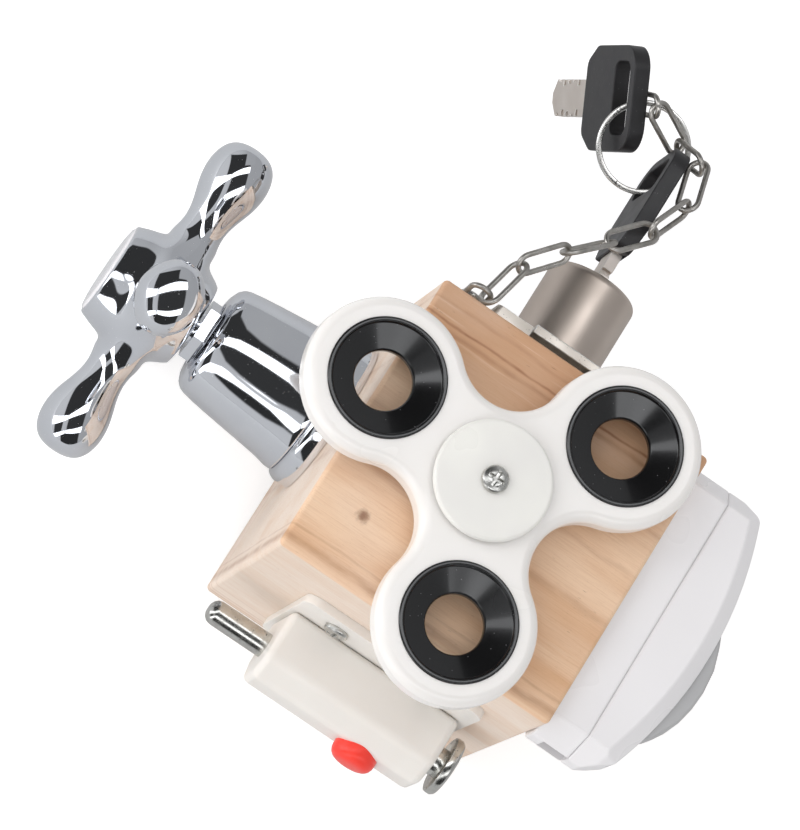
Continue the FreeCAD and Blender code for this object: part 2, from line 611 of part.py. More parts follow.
def split_ring():
    """Square wire wound nearly twice round, its ends apart."""
    height = RING_PITCH * RING_TURNS
    path = Part.makeHelix(RING_PITCH, height, RING_RADIUS)
    half = RING_WIRE / 2
    corners = [V(RING_RADIUS + x, 0, z) for x, z in ((-half, -half), (half, -half), (half, half), (-half, half))]
    section = Part.makePolygon(corners + corners[:1])
    coil = sound(Part.Wire(path).makePipeShell([section], True, True))
    coil.rotate(V(0, 0, 0), V(0, 0, 1), -180 * RING_TURNS)
    coil.translate(V(0, 0, -height / 2))
    first, second, normal = ring_axes()
    return aimed(coil, RING_CENTRE, normal, first)


# Chain

# Where each link meets the next, from the anchor to the ring
BENDS = (
    (-21.2, 31.4, 58.1),
    (-19.0, 41.1, 57.3),
    (-12.9, 48.9, 55.9),
    (-6.5, 56.3, 53.5),
    (-0.4, 63.9, 51.1),
    (3.1, 72.8, 48.3),
    (1.3, 82.2, 45.9),
    (LOCK_X, 85.4, LOCK_Z),
    (-11.5, 87.9, 43.7),
    (-14.0, 89.7, 35.1),
)
# How far each link is rolled about its length, in degrees
ROLLS = (-54, 45, -72, -13, 58, 140, 93, 180, 104)


def link():
    """One oval link, its length along +Z and its width along X."""
    wire = LINK_WIRE / 2
    bend = LINK_WIDTH / 2 - wire
    straight = LINK_LENGTH / 2 - bend - wire
    shapes = []
    for side in (-1, 1):
        shapes.append(rod(wire, (side * bend, 0, -straight), (0, 0, 1), 2 * straight))
        half = Part.makeTorus(bend, wire, V(0, 0, 0), V(0, 1, 0), -180, 180, 180)
        half.rotate(V(0, 0, 0), V(0, 1, 0), -90 * side)
        half.translate(V(0, 0, side * straight))
        shapes.append(half)
    return joined(shapes)


def rolled(direction, degrees):
    """The way across a link, rolled from level."""
    level = direction.cross(V(0, 0, 1)).normalize()
    other = direction.cross(level)
    angle = math.radians(degrees)
    return level * math.cos(angle) + other * math.sin(angle)


def chain():
    """Ten links and the screw that holds the first."""
    shape = link()
    tilt = math.radians(ANCHOR_TILT)
    pieces = {"chain_link_0": aimed(shape, ANCHOR, (0, math.sin(tilt), math.cos(tilt)), (1, 0, 0))}
    for index, roll in enumerate(ROLLS):
        start, end = V(*BENDS[index]), V(*BENDS[index + 1])
        direction = (end - start).normalize()
        across = rolled(direction, roll)
        middle = (start + end) * 0.5
        pieces["chain_link_%d" % (index + 1)] = aimed(shape, middle, direction, across)
    arc_back = LINK_LENGTH / 2 - LINK_WIDTH / 2
    seat = ANCHOR[1] + 0.5
    screw = pan_screw(2.5, 1.3, ANCHOR_SCREW_RADIUS, 14.0)
    place = (ANCHOR[0], seat, ANCHOR[2] - arc_back)
    pieces["chain_anchor_screw"] = aimed(screw, place, (0, 1, 0))
    hole = screw_hole(ANCHOR_SCREW_RADIUS, 14.0)
    return pieces, [aimed(hole, place, (0, 1, 0))]


# In-line switch

def switch_wire(z, drop, shorten):
    """Side outline of the switch at one depth: flat on the wood, arched outside."""
    low, high = SWITCH_LOW + shorten, SWITCH_HIGH - shorten
    middle = (SWITCH_LOW + SWITCH_HIGH) / 2
    shoulder = SWITCH_SHOULDER - drop
    crown = SWITCH_CROWN - drop
    corners = [V(HALF + shoulder - 5.0, low - 0.3, z), V(HALF, low, z), V(HALF, high, z),
               V(HALF + shoulder - 4.0, high, z)]
    arch = [V(HALF + shoulder, low + 3.4, z), V(HALF + crown, middle, z), V(HALF + shoulder, high - 2.0, z)]
    edges = [Part.makeLine(a, b) for a, b in zip(corners, corners[1:])]
    edges.append(Part.makeLine(corners[3], arch[2]))
    edges.append(Part.Arc(arch[2], arch[1], arch[0]).toShape())
    edges.append(Part.makeLine(arch[0], corners[0]))
    return Part.Wire(edges)


def switch_outer():
    """The switch's outside as one solid."""
    back, front = SWITCH_Z - SWITCH_WIDTH / 2, SWITCH_Z + SWITCH_WIDTH / 2
    wires = [switch_wire(back, SWITCH_BEVEL, 0), switch_wire(back + SWITCH_BEVEL_WIDTH, 0, 0),
             switch_wire(front - SWITCH_BEVEL_WIDTH, 0, 0), switch_wire(front, SWITCH_BEVEL, 0)]
    body = sound(Part.makeLoft(wires, True, True))
    low, high = SWITCH_LOW - 1, SWITCH_HIGH + 1
    y, z = SWITCH_CORNER_Y, SWITCH_CORNER_Z
    for end, inward in ((SWITCH_LOW, 1), (SWITCH_HIGH, -1)):
        for side, turn in ((back, 1), (front, -1)):
            corner = [V(HALF - 1, end + inward * y, side - turn * 1), V(HALF - 1, end - inward * 3, side - turn * 1),
                      V(HALF - 1, end - inward * 3, side + turn * (z + 3 * z / y)),
                      V(HALF - 1, end + inward * y, side)]
            wedge = Part.Face(Part.makePolygon(corner + corner[:1])).extrude(V(40, 0, 0))
            body = body.cut(sound(wedge))
    return body


def switch():
    """Base and cover shells, rocker, pivot, contacts and screws."""
    outer = switch_outer()
    back, front = SWITCH_Z - SWITCH_WIDTH / 2, SWITCH_Z + SWITCH_WIDTH / 2
    split = HALF + SWITCH_SPLIT
    far = HALF + SWITCH_CROWN + 5
    lower = box((HALF - 1, split), (SWITCH_LOW - 5, SWITCH_HIGH + 5), (back - 1, front + 1))
    upper = box((split, far), (SWITCH_LOW - 5, SWITCH_HIGH + 5), (back - 1, front + 1))
    floor = HALF + SWITCH_WALL
    roof = HALF + SWITCH_SHOULDER - 0.5
    inner_y = (SWITCH_LOW + 8.5, SWITCH_HIGH - 8.5)
    inner_z = (back + 2.4, front - 2.4)
    room = box((floor, roof), inner_y, inner_z)
    base = outer.common(lower).cut(room)
    cover = outer.common(upper).cut(room)
    for end in (SWITCH_LOW, SWITCH_HIGH):
        reach = sorted((end - math.copysign(9.0, end), end + math.copysign(2.0, end)))
        entry = box((split - CABLE_HEIGHT, split), reach, (SWITCH_Z - CABLE_WIDTH / 2, SWITCH_Z + CABLE_WIDTH / 2))
        base = base.cut(entry)

    pivot_x = HALF + ROCKER_RISE
    mouth = ROCKER_HALF + 0.7
    half = ROCKER_WIDTH / 2
    cover = cover.cut(box((roof - 2, far), (ROCKER_Y - mouth, ROCKER_Y + mouth),
                          (SWITCH_Z - half - GAP, SWITCH_Z + half + GAP)))
    bosses = []
    for side in (-1, 1):
        near = SWITCH_Z + side * (half + GAP)
        wall = SWITCH_Z + side * (SWITCH_WIDTH / 2 - 1.5)
        bosses.append(box((pivot_x - 2.5, roof + 1), (ROCKER_Y - 2.5, ROCKER_Y + 2.5), sorted((near, wall))))
    cover = joined([cover] + bosses)
    pin_z = (SWITCH_Z - SWITCH_WIDTH / 2 + 2.6, SWITCH_Z + SWITCH_WIDTH / 2 - 2.6)
    pin = rod(ROCKER_PIN_RADIUS, (pivot_x, ROCKER_Y, pin_z[0]), (0, 0, 1), pin_z[1] - pin_z[0])
    cover = cover.cut(pin)

    reach = ROCKER_HALF
    outline = [(-3.0, -reach + 2.6), (3.2, -reach), (5.6, -reach + 2.6), (7.8, -reach + 6.6), (8.6, 0.6),
               (6.6, reach - 4.0), (4.7, reach - 0.4), (2.0, reach - 0.8), (-2.2, reach - 3.0)]
    points = [V(pivot_x + x, ROCKER_Y + y, SWITCH_Z - half) for x, y in outline]
    rocker = sound(Part.Face(Part.makePolygon(points + points[:1])).extrude(V(0, 0, ROCKER_WIDTH)))
    rocker = rocker.cut(rod(ROCKER_PIN_RADIUS + FIT, (pivot_x, ROCKER_Y, SWITCH_Z - 20), (0, 0, 1), 40))
    blade_x = (pivot_x - 4.6, pivot_x - 2.6)
    moving = box(blade_x, (ROCKER_Y - 5.0, ROCKER_Y + 5.0), (SWITCH_Z - 2.0, SWITCH_Z + 2.0)).cut(rocker)
    contacts, screws = [], []
    for y in (ROCKER_Y - 7.0, ROCKER_Y + 7.0):
        contacts.append(box((floor, floor + 4.5), (y - 3, y + 3), (SWITCH_Z - 2.5, SWITCH_Z + 2.5)))
    radius, length = 1.25, 13.0
    holes = []
    screw = pan_screw(2.4, 1.4, radius, length)
    hole = screw_hole(radius, length)
    for y in (SWITCH_LOW + SWITCH_SCREW_INSET, SWITCH_HIGH - SWITCH_SCREW_INSET):
        place = (floor, y, SWITCH_Z)
        screws.append(aimed(screw, place, (1, 0, 0)))
        holes.append(aimed(hole, place, (1, 0, 0)))
    base = base.cut(Part.makeCompound(holes))
    pieces = {"switch_base": base, "switch_cover": cover, "switch_rocker": rocker, "switch_pivot": pin,
              "switch_moving_contact": moving, "switch_contacts": Part.makeCompound(contacts),
              "switch_screws": Part.makeCompound(screws)}
    return pieces, holes


# Bolt latch

def coil(wire, radius, turns, length):
    """Open wound spring along +Z from z = 0."""
    pitch = (length - wire) / turns
    path = Part.makeHelix(pitch, pitch * turns, radius)
    section = Part.Wire(Part.makeCircle(wire / 2, V(radius, 0, 0), V(0, 1, 0)))
    spring = sound(Part.Wire(path).makePipeShell([section], True, True))
    spring.translate(V(0, 0, wire / 2))
    print("spring clearance between turns", round(pitch - wire, 2))
    return spring


def latch():
    """Flange, body, bolt pin, collar, knob, button, springs and screws."""
    flange_out = -HALF - LATCH_FLANGE_THICK
    x0, x1, z0, z1 = LATCH_FLANGE
    flange = box((x0, x1), (flange_out, -HALF), (z0, z1))
    upright = [edge for edge in flange.Edges if abs(edge.BoundBox.YLength - LATCH_FLANGE_THICK) < 0.01]
    flange = flange.makeFillet(3.0, upright)
    body_x = (LATCH_X - LATCH_LENGTH / 2, LATCH_X + LATCH_LENGTH / 2)
    bevel = LATCH_BEVEL
    section = [(flange_out, LATCH_BODY_LOW), (LATCH_TOP + bevel, LATCH_BODY_LOW), (LATCH_TOP, LATCH_BODY_LOW + bevel),
               (LATCH_TOP, LATCH_BODY_HIGH - bevel), (LATCH_TOP + bevel, LATCH_BODY_HIGH),
               (flange_out, LATCH_BODY_HIGH)]
    corners = [V(body_x[0], y, z) for y, z in section]
    body = sound(Part.Face(Part.makePolygon(corners + corners[:1])).extrude(V(LATCH_LENGTH, 0, 0)))
    body = body.cut(rod(PIN_RADIUS + FIT, (body_x[0] - 1, LATCH_Y, LATCH_Z), (1, 0, 0), LATCH_LENGTH + 2))
    chamber_x = (body_x[0] + CHAMBER_INSET, body_x[0] + CHAMBER_INSET + CHAMBER_LENGTH)
    body = body.cut(rod(CHAMBER_RADIUS, (chamber_x[0], LATCH_Y, LATCH_Z), (1, 0, 0), CHAMBER_LENGTH))
    body = body.cut(box(chamber_x, (LATCH_Y, flange_out), (LATCH_Z - CHAMBER_RADIUS, LATCH_Z + CHAMBER_RADIUS)))
    well = LATCH_TOP + PUSH_WELL
    body = body.cut(rod(PUSH_RADIUS + EASE, (PUSH_X, LATCH_TOP - 1, LATCH_Z), (0, 1, 0), well - LATCH_TOP + 1))
    body = body.cut(rod(1.5 + FIT, (PUSH_X, LATCH_TOP - 1, LATCH_Z), (0, 1, 0), LATCH_Y - LATCH_TOP + 1))

    knob_x = body_x[1] + KNOB_GAP
    pin_x = (body_x[0] - PIN_REACH, knob_x)
    tip = 1.2
    pin = aimed(turned([(0, 0), (PIN_RADIUS - tip, 0), (PIN_RADIUS - 0.35, 0.45), (PIN_RADIUS, tip),
                        (PIN_RADIUS, pin_x[1] - pin_x[0]), (0, pin_x[1] - pin_x[0])]),
                (pin_x[0], LATCH_Y, LATCH_Z), (1, 0, 0))
    neck = GAP - KNOB_GAP
    knob = aimed(turned([(PIN_RADIUS, neck), (NECK_RADIUS, neck), (NECK_RADIUS, 0), (KNOB_RADIUS - 0.5, 0),
                         (KNOB_RADIUS, 0.5), (KNOB_RADIUS, KNOB_THICK - 0.5), (KNOB_RADIUS - 0.5, KNOB_THICK),
                         (0, KNOB_THICK), (0, 0), (PIN_RADIUS, 0)]), (knob_x, LATCH_Y, LATCH_Z), (1, 0, 0))
    collar_x = chamber_x[0] + EASE
    collar = aimed(turned([(PIN_RADIUS, 0), (CHAMBER_RADIUS - 0.2, 0), (CHAMBER_RADIUS - 0.2, COLLAR_THICK),
                           (PIN_RADIUS, COLLAR_THICK)]), (collar_x, LATCH_Y, LATCH_Z), (1, 0, 0))
    room = chamber_x[1] - collar_x - COLLAR_THICK
    spring = aimed(coil(SPRING_WIRE, PIN_RADIUS + 0.6 + SPRING_WIRE / 2, SPRING_TURNS, room - EASE),
                   (chamber_x[1], LATCH_Y, LATCH_Z), (-1, 0, 0))
    seat = LATCH_TOP + 1.5
    dome = PUSH_RISE
    button = turned([(0, dome), (0.35 * PUSH_RADIUS, 0.95 * dome), (0.65 * PUSH_RADIUS, 0.75 * dome),
                     (0.87 * PUSH_RADIUS, 0.45 * dome), (PUSH_RADIUS, 0), (PUSH_RADIUS, LATCH_TOP - seat),
                     (1.5, LATCH_TOP - seat), (1.5, LATCH_TOP - seat - 1.3), (0, LATCH_TOP - seat - 1.3)])
    button = aimed(button, (PUSH_X, LATCH_TOP, LATCH_Z), (0, -1, 0))
    push_spring = aimed(coil(PUSH_WIRE, 2.6, PUSH_TURNS, well - seat - EASE), (PUSH_X, well, LATCH_Z), (0, -1, 0))

    radius, length = 1.25, 13.0
    screw = pan_screw(2.5, 1.3, radius, length)
    hole = screw_hole(radius, length)
    screws, holes = [], []
    for x in (x0 + LATCH_SCREW_INSET_X, x1 - LATCH_SCREW_INSET_X):
        for z in (z0 + LATCH_SCREW_INSET_Z, z1 - LATCH_SCREW_INSET_Z):
            place = (x, flange_out, z)
            screws.append(aimed(screw, place, (0, -1, 0)))
            holes.append(aimed(hole, place, (0, -1, 0)))
    flange = flange.cut(Part.makeCompound(holes))
    pieces = {"latch_flange": flange, "latch_body": body, "latch_bolt": pin, "latch_knob": knob,
              "latch_collar": collar, "latch_spring": spring, "latch_button": button,
              "latch_button_spring": push_spring, "latch_screws": Part.makeCompound(screws)}
    return pieces, holes


# Assembly

def main():
    pieces, holes = {}, []
    for maker in (spinner, tap, lock, chain, switch, latch):
        made, cuts = maker()
        pieces.update(made)
        holes.extend(cuts)

    blade, head = key()
    inserted = ((LOCK_X, KEY_OUT_Y, LOCK_Z), (0, -1, 0), (1, 0, 0))
    pieces["key_blade"] = aimed(blade, *inserted)
    pieces["key_head"] = aimed(head, *inserted)
    spare_out = V(*SPARE_SLOT) - unit(SPARE_DOWN) * SLOT_INSET
    spare = (spare_out, SPARE_DOWN, SPARE_FLAT)
    pieces["spare_key_blade"] = aimed(blade, *spare)
    pieces["spare_key_head"] = aimed(head, *spare)
    pieces["split_ring"] = split_ring()

    block = Part.makeBox(CUBE, CUBE, CUBE, V(-HALF, -HALF, 0))
    block = block.makeFillet(CUBE_EDGE, block.Edges)
    for hole in holes:
        block = block.cut(hole)
    pieces["wood_block"] = block

    for name, shape in pieces.items():
        if not shape.isValid():
            print("not valid:", name)
        shape.exportStep("parts/%s.step" % name)
        limits = shape.BoundBox
        print("%-22s %2d solids %9.1f mm3  x %6.1f %6.1f  y %6.1f %6.1f  z %6.1f %6.1f" % (
            name, len(shape.Solids), shape.Volume, limits.XMin, limits.XMax, limits.YMin, limits.YMax,
            limits.ZMin, limits.ZMax))


main()
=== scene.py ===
import json
import logging
import math
from collections.abc import Sequence
from dataclasses import dataclass
from enum import Enum
from typing import Any

import bmesh
import bpy
from mathutils import Matrix, Vector

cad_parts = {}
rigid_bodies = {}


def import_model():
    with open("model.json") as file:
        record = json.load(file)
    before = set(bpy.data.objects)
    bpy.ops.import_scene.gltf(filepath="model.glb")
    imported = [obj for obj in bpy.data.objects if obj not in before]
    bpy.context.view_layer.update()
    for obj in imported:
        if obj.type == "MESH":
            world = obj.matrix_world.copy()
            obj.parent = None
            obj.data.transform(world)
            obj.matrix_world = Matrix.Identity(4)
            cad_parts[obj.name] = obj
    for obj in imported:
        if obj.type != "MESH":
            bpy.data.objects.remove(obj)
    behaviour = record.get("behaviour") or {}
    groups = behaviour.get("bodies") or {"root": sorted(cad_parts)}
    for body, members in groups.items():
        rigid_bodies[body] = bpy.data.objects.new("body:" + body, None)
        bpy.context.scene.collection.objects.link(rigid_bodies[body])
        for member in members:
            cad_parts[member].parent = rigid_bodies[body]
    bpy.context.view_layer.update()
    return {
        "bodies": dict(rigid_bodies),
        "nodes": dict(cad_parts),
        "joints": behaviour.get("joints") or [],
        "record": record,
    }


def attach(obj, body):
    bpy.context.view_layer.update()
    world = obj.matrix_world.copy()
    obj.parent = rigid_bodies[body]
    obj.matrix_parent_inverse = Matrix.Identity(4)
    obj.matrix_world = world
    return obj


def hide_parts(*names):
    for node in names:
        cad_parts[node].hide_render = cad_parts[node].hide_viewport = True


MM = 0.001
LOG = logging.getLogger("busy_cube")
Profile = Sequence[tuple[float, float]]
Triple = tuple[float, float, float]
Pair = tuple[float, float]
Socket = bpy.types.NodeSocket
Mesh = bmesh.types.BMesh


def linear(red: float, green: float, blue: float) -> tuple[float, float, float, float]:
    """A screen colour in 0-255 steps as scene light.

    Args:
        red, green, blue: the colour as a screen shows it.

    Returns:
        The colour in linear light, with full alpha.
    """
    steps = [value / 255.0 for value in (red, green, blue)]
    light = [value / 12.92 if value <= 0.04045 else ((value + 0.055) / 1.055) ** 2.4 for value in steps]
    return (light[0], light[1], light[2], 1.0)


class Tree:
    """A node tree with short ways to add and join nodes."""

    def __init__(self, tree: bpy.types.NodeTree) -> None:
        """Wraps a node tree."""
        self.tree = tree

    def add(self, kind: str, inputs: dict[Any, Any] | None = None, **settings: Any) -> bpy.types.Node:
        """Adds one node.

        Args:
            kind: the node's type, without its leading ShaderNode.
            inputs: values or sockets for its inputs, by name or index.
            settings: properties of the node.

        Returns:
            The new node.
        """
        node = self.tree.nodes.new("ShaderNode" + kind)
        for key, value in settings.items():
            setattr(node, key, value)
        for key, value in (inputs or {}).items():
            if isinstance(value, Socket):
                self.tree.links.new(value, node.inputs[key])
            else:
                node.inputs[key].default_value = value
        return node

    def math(self, operation: str, first: Any, second: Any = 0.0, third: Any = 0.0) -> Socket:
        """A Math node's value."""
        return self.add("Math", {0: first, 1: second, 2: third}, operation=operation).outputs[0]

    def span(self, value: Any, low: float, high: float, start: float = 0.0, end: float = 1.0) -> Socket:
        """The value moved smoothly from low..high to start..end."""
        limits = {0: value, 1: low, 2: high, 3: start, 4: end}
        return self.add("MapRange", limits, interpolation_type="SMOOTHSTEP").outputs[0]

    def blend(self, factor: Any, first: Any, second: Any, way: str = "MIX") -> Socket:
        """A colour mixed from two by a factor."""
        node = self.add("Mix", {0: factor, 6: first, 7: second}, data_type="RGBA", blend_type=way)
        return node.outputs[2]

    def place(self, scale: Triple, offset: Triple = (0.0, 0.0, 0.0)) -> Socket:
        """Object coordinates moved by offset and scaled, in that order, both in millimetres."""
        coordinate = self.add("TexCoord").outputs["Object"]
        shift = tuple(MM * value for value in offset)
        moved = self.add("VectorMath", {0: coordinate, 1: shift}, operation="SUBTRACT")
        size = tuple(value / MM for value in scale)
        return self.add("VectorMath", {0: moved.outputs[0], 1: size}, operation="MULTIPLY").outputs[0]

    def noise(self, vector: Any, scale: float, detail: float = 2.0, distort: float = 0.0) -> Socket:
        """A noise value on a vector."""
        inputs = {"Vector": vector, "Scale": scale, "Detail": detail, "Distortion": distort}
        return self.add("TexNoise", inputs).outputs[0]


class Effects:
    """Shader groups that more than one finish uses."""

    def __init__(self) -> None:
        """Builds each group once."""
        self.smudge = self._smudge()
        self.worn = self._worn()
        self.specks = self._specks()

    @staticmethod
    def _new(name: str, inputs: dict[str, float], outputs: dict[str, str]) -> tuple[Any, Tree, Any, Any]:
        """An empty group with float inputs and the named outputs."""
        group = bpy.data.node_groups.new(name, "ShaderNodeTree")
        for title, value in inputs.items():
            socket = group.interface.new_socket(title, in_out="INPUT", socket_type="NodeSocketFloat")
            socket.default_value = value
        for title, kind in outputs.items():
            group.interface.new_socket(title, in_out="OUTPUT", socket_type=kind)
        return group, Tree(group), group.nodes.new("NodeGroupInput"), group.nodes.new("NodeGroupOutput")

    def _smudge(self) -> bpy.types.NodeTree:
        """Uneven polish: a slow mask and the height of fine tooth."""
        group, tree, start, end = self._new("uneven_polish", {"Patch": 0.15, "Tooth": 2.0},
                                            {"Mask": "NodeSocketFloat", "Height": "NodeSocketFloat"})
        where = tree.place((1.0, 1.0, 1.0))
        slow = tree.add("TexNoise", {"Vector": where, "Scale": start.outputs[0], "Detail": 2.0}).outputs[0]
        fine = tree.add("TexNoise", {"Vector": where, "Scale": start.outputs[1], "Detail": 3.0}).outputs[0]
        even = tree.add("MapRange", {0: slow, 1: 0.25, 2: 0.75}, interpolation_type="LINEAR")
        group.links.new(even.outputs[0], end.inputs[0])
        group.links.new(fine, end.inputs[1])
        return group

    def _worn(self) -> bpy.types.NodeTree:
        """Bare edges: the mesh's own edge mark broken up by noise."""
        group, tree, start, end = self._new("bare_edges", {"Break": 0.9, "Reach": 0.5},
                                            {"Mask": "NodeSocketFloat"})
        mark = tree.add("Attribute", attribute_name="edge").outputs["Fac"]
        patch = tree.add("TexNoise", {"Vector": tree.place((1.0, 1.0, 1.0)), "Scale": start.outputs[0],
                                      "Detail": 4.0}).outputs[0]
        lifted = tree.math("ADD", patch, start.outputs[1])
        group.links.new(tree.math("MULTIPLY", mark, tree.span(lifted, 0.75, 1.05)), end.inputs[0])
        return group

    def _specks(self) -> bpy.types.NodeTree:
        """Tiny bright or dark grains, as dust on plating or pits in zinc."""
        group, tree, start, end = self._new("specks", {"Scale": 3.0, "Amount": 0.2},
                                            {"Mask": "NodeSocketFloat"})
        where = tree.place((1.0, 1.0, 1.0))
        cell = tree.add("TexVoronoi", {"Vector": where, "Scale": start.outputs[0]})
        chance = tree.add("SeparateColor", {0: cell.outputs["Color"]}).outputs[0]
        chosen = tree.math("LESS_THAN", chance, start.outputs[1])
        dot = tree.span(cell.outputs["Distance"], 0.10, 0.26, 1.0, 0.0)
        group.links.new(tree.math("MULTIPLY", chosen, dot), end.inputs[0])
        return group


@dataclass(frozen=True)
class Finish:
    """What every finish has: a name and the Principled values that are even all over."""

    name: str
    color: Triple
    roughness: float = 0.4

    def start(self, **even: float) -> tuple[bpy.types.Material, Tree, bpy.types.Node]:
        """A new material with its shader.

        Args:
            even: values set straight on the shader, by input name with _ for a space.

        Returns:
            The material, its tree and its Principled shader.
        """
        material = bpy.data.materials.new(self.name)
        material.use_nodes = True
        tree = Tree(material.node_tree)
        shader = material.node_tree.nodes["Principled BSDF"]
        for key, value in even.items():
            shader.inputs[key.replace("_", " ")].default_value = value
        return material, tree, shader

    @staticmethod
    def group(tree: Tree, group: bpy.types.NodeTree, **values: float) -> bpy.types.Node:
        """Places a shared group with its own values."""
        node = tree.tree.nodes.new("ShaderNodeGroup")
        node.node_tree = group
        for key, value in values.items():
            node.inputs[key].default_value = value
        return node


@dataclass(frozen=True)
class Uneven(Finish):
    """A finish whose tone and gloss drift, with fine tooth and sparse grains."""

    drift: Triple | None = None
    patch: float = 0.08
    tooth: float = 1.5
    relief: float = 0.004
    gloss_drift: float = 0.08
    speck: float = 0.0
    speck_scale: float = 2.2
    speck_color: Triple = (235, 235, 235)

    def tone(self, tree: Tree, effects: Effects) -> tuple[Socket, Socket, Socket, Any]:
        """The drifting colour.

        Returns:
            The colour, the polish mask, the tooth's height and the grains' mask, 0 where there are none.
        """
        polish = self.group(tree, effects.smudge, Patch=self.patch, Tooth=self.tooth)
        color = tree.blend(polish.outputs[0], linear(*self.color), linear(*(self.drift or self.color)))
        grains = 0.0
        if self.speck:
            grains = self.group(tree, effects.specks, Scale=self.speck_scale, Amount=self.speck).outputs[0]
            color = tree.blend(grains, color, linear(*self.speck_color))
        return color, polish.outputs[0], polish.outputs[1], grains

    def join(self, tree: Tree, shader: bpy.types.Node, color: Any, rough: Any, height: Any) -> None:
        """Joins colour, roughness and relief to the shader."""
        tree.tree.links.new(color, shader.inputs["Base Color"])
        tree.tree.links.new(rough, shader.inputs["Roughness"])
        if self.relief:
            bump = tree.add("Bump", {"Strength": 1.0, "Distance": self.relief * MM, "Height": height})
            tree.tree.links.new(bump.outputs[0], shader.inputs["Normal"])


@dataclass(frozen=True)
class Moulded(Uneven):
    """Moulded plastic."""

    soft: float = 0.0
    coat: float = 0.0

    def material(self, effects: Effects) -> bpy.types.Material:
        """Builds the plastic."""
        material, tree, shader = self.start(IOR=1.49, Coat_Weight=self.coat, Coat_Roughness=0.08,
                                            Subsurface_Weight=self.soft, Subsurface_Scale=2.0 * MM)
        shader.inputs["Subsurface Radius"].default_value = (1.0, 0.9, 0.8)
        color, polish, height, _ = self.tone(tree, effects)
        half = self.gloss_drift / 2
        rough = tree.span(polish, 0.0, 1.0, self.roughness - half, self.roughness + half)
        self.join(tree, shader, color, rough, height)
        return material


@dataclass(frozen=True)
class Metal(Uneven):
    """Metal, with bare bright edges or a brushed grain where asked for."""

    patch: float = 0.12
    tooth: float = 3.0
    relief: float = 0.0
    gloss_drift: float = 0.04
    speck_scale: float = 2.5
    grain_gloss: float = 0.35
    edge: Triple | None = None
    brushed: Triple | None = None

    def material(self, effects: Effects) -> bpy.types.Material:
        """Builds the metal."""
        material, tree, shader = self.start(Metallic=1.0)
        color, polish, height, grains = self.tone(tree, effects)
        rough = tree.span(polish, 0.0, 1.0, self.roughness, self.roughness + self.gloss_drift)
        if self.speck:
            rough = tree.math("MULTIPLY_ADD", grains, self.grain_gloss, rough)
        if self.edge:
            bare = self.group(tree, effects.worn)
            color = tree.blend(bare.outputs[0], color, linear(*self.edge))
        if self.brushed:
            height = tree.noise(tree.place(self.brushed), 1.0, 3.0)
        self.join(tree, shader, color, rough, height)
        return material


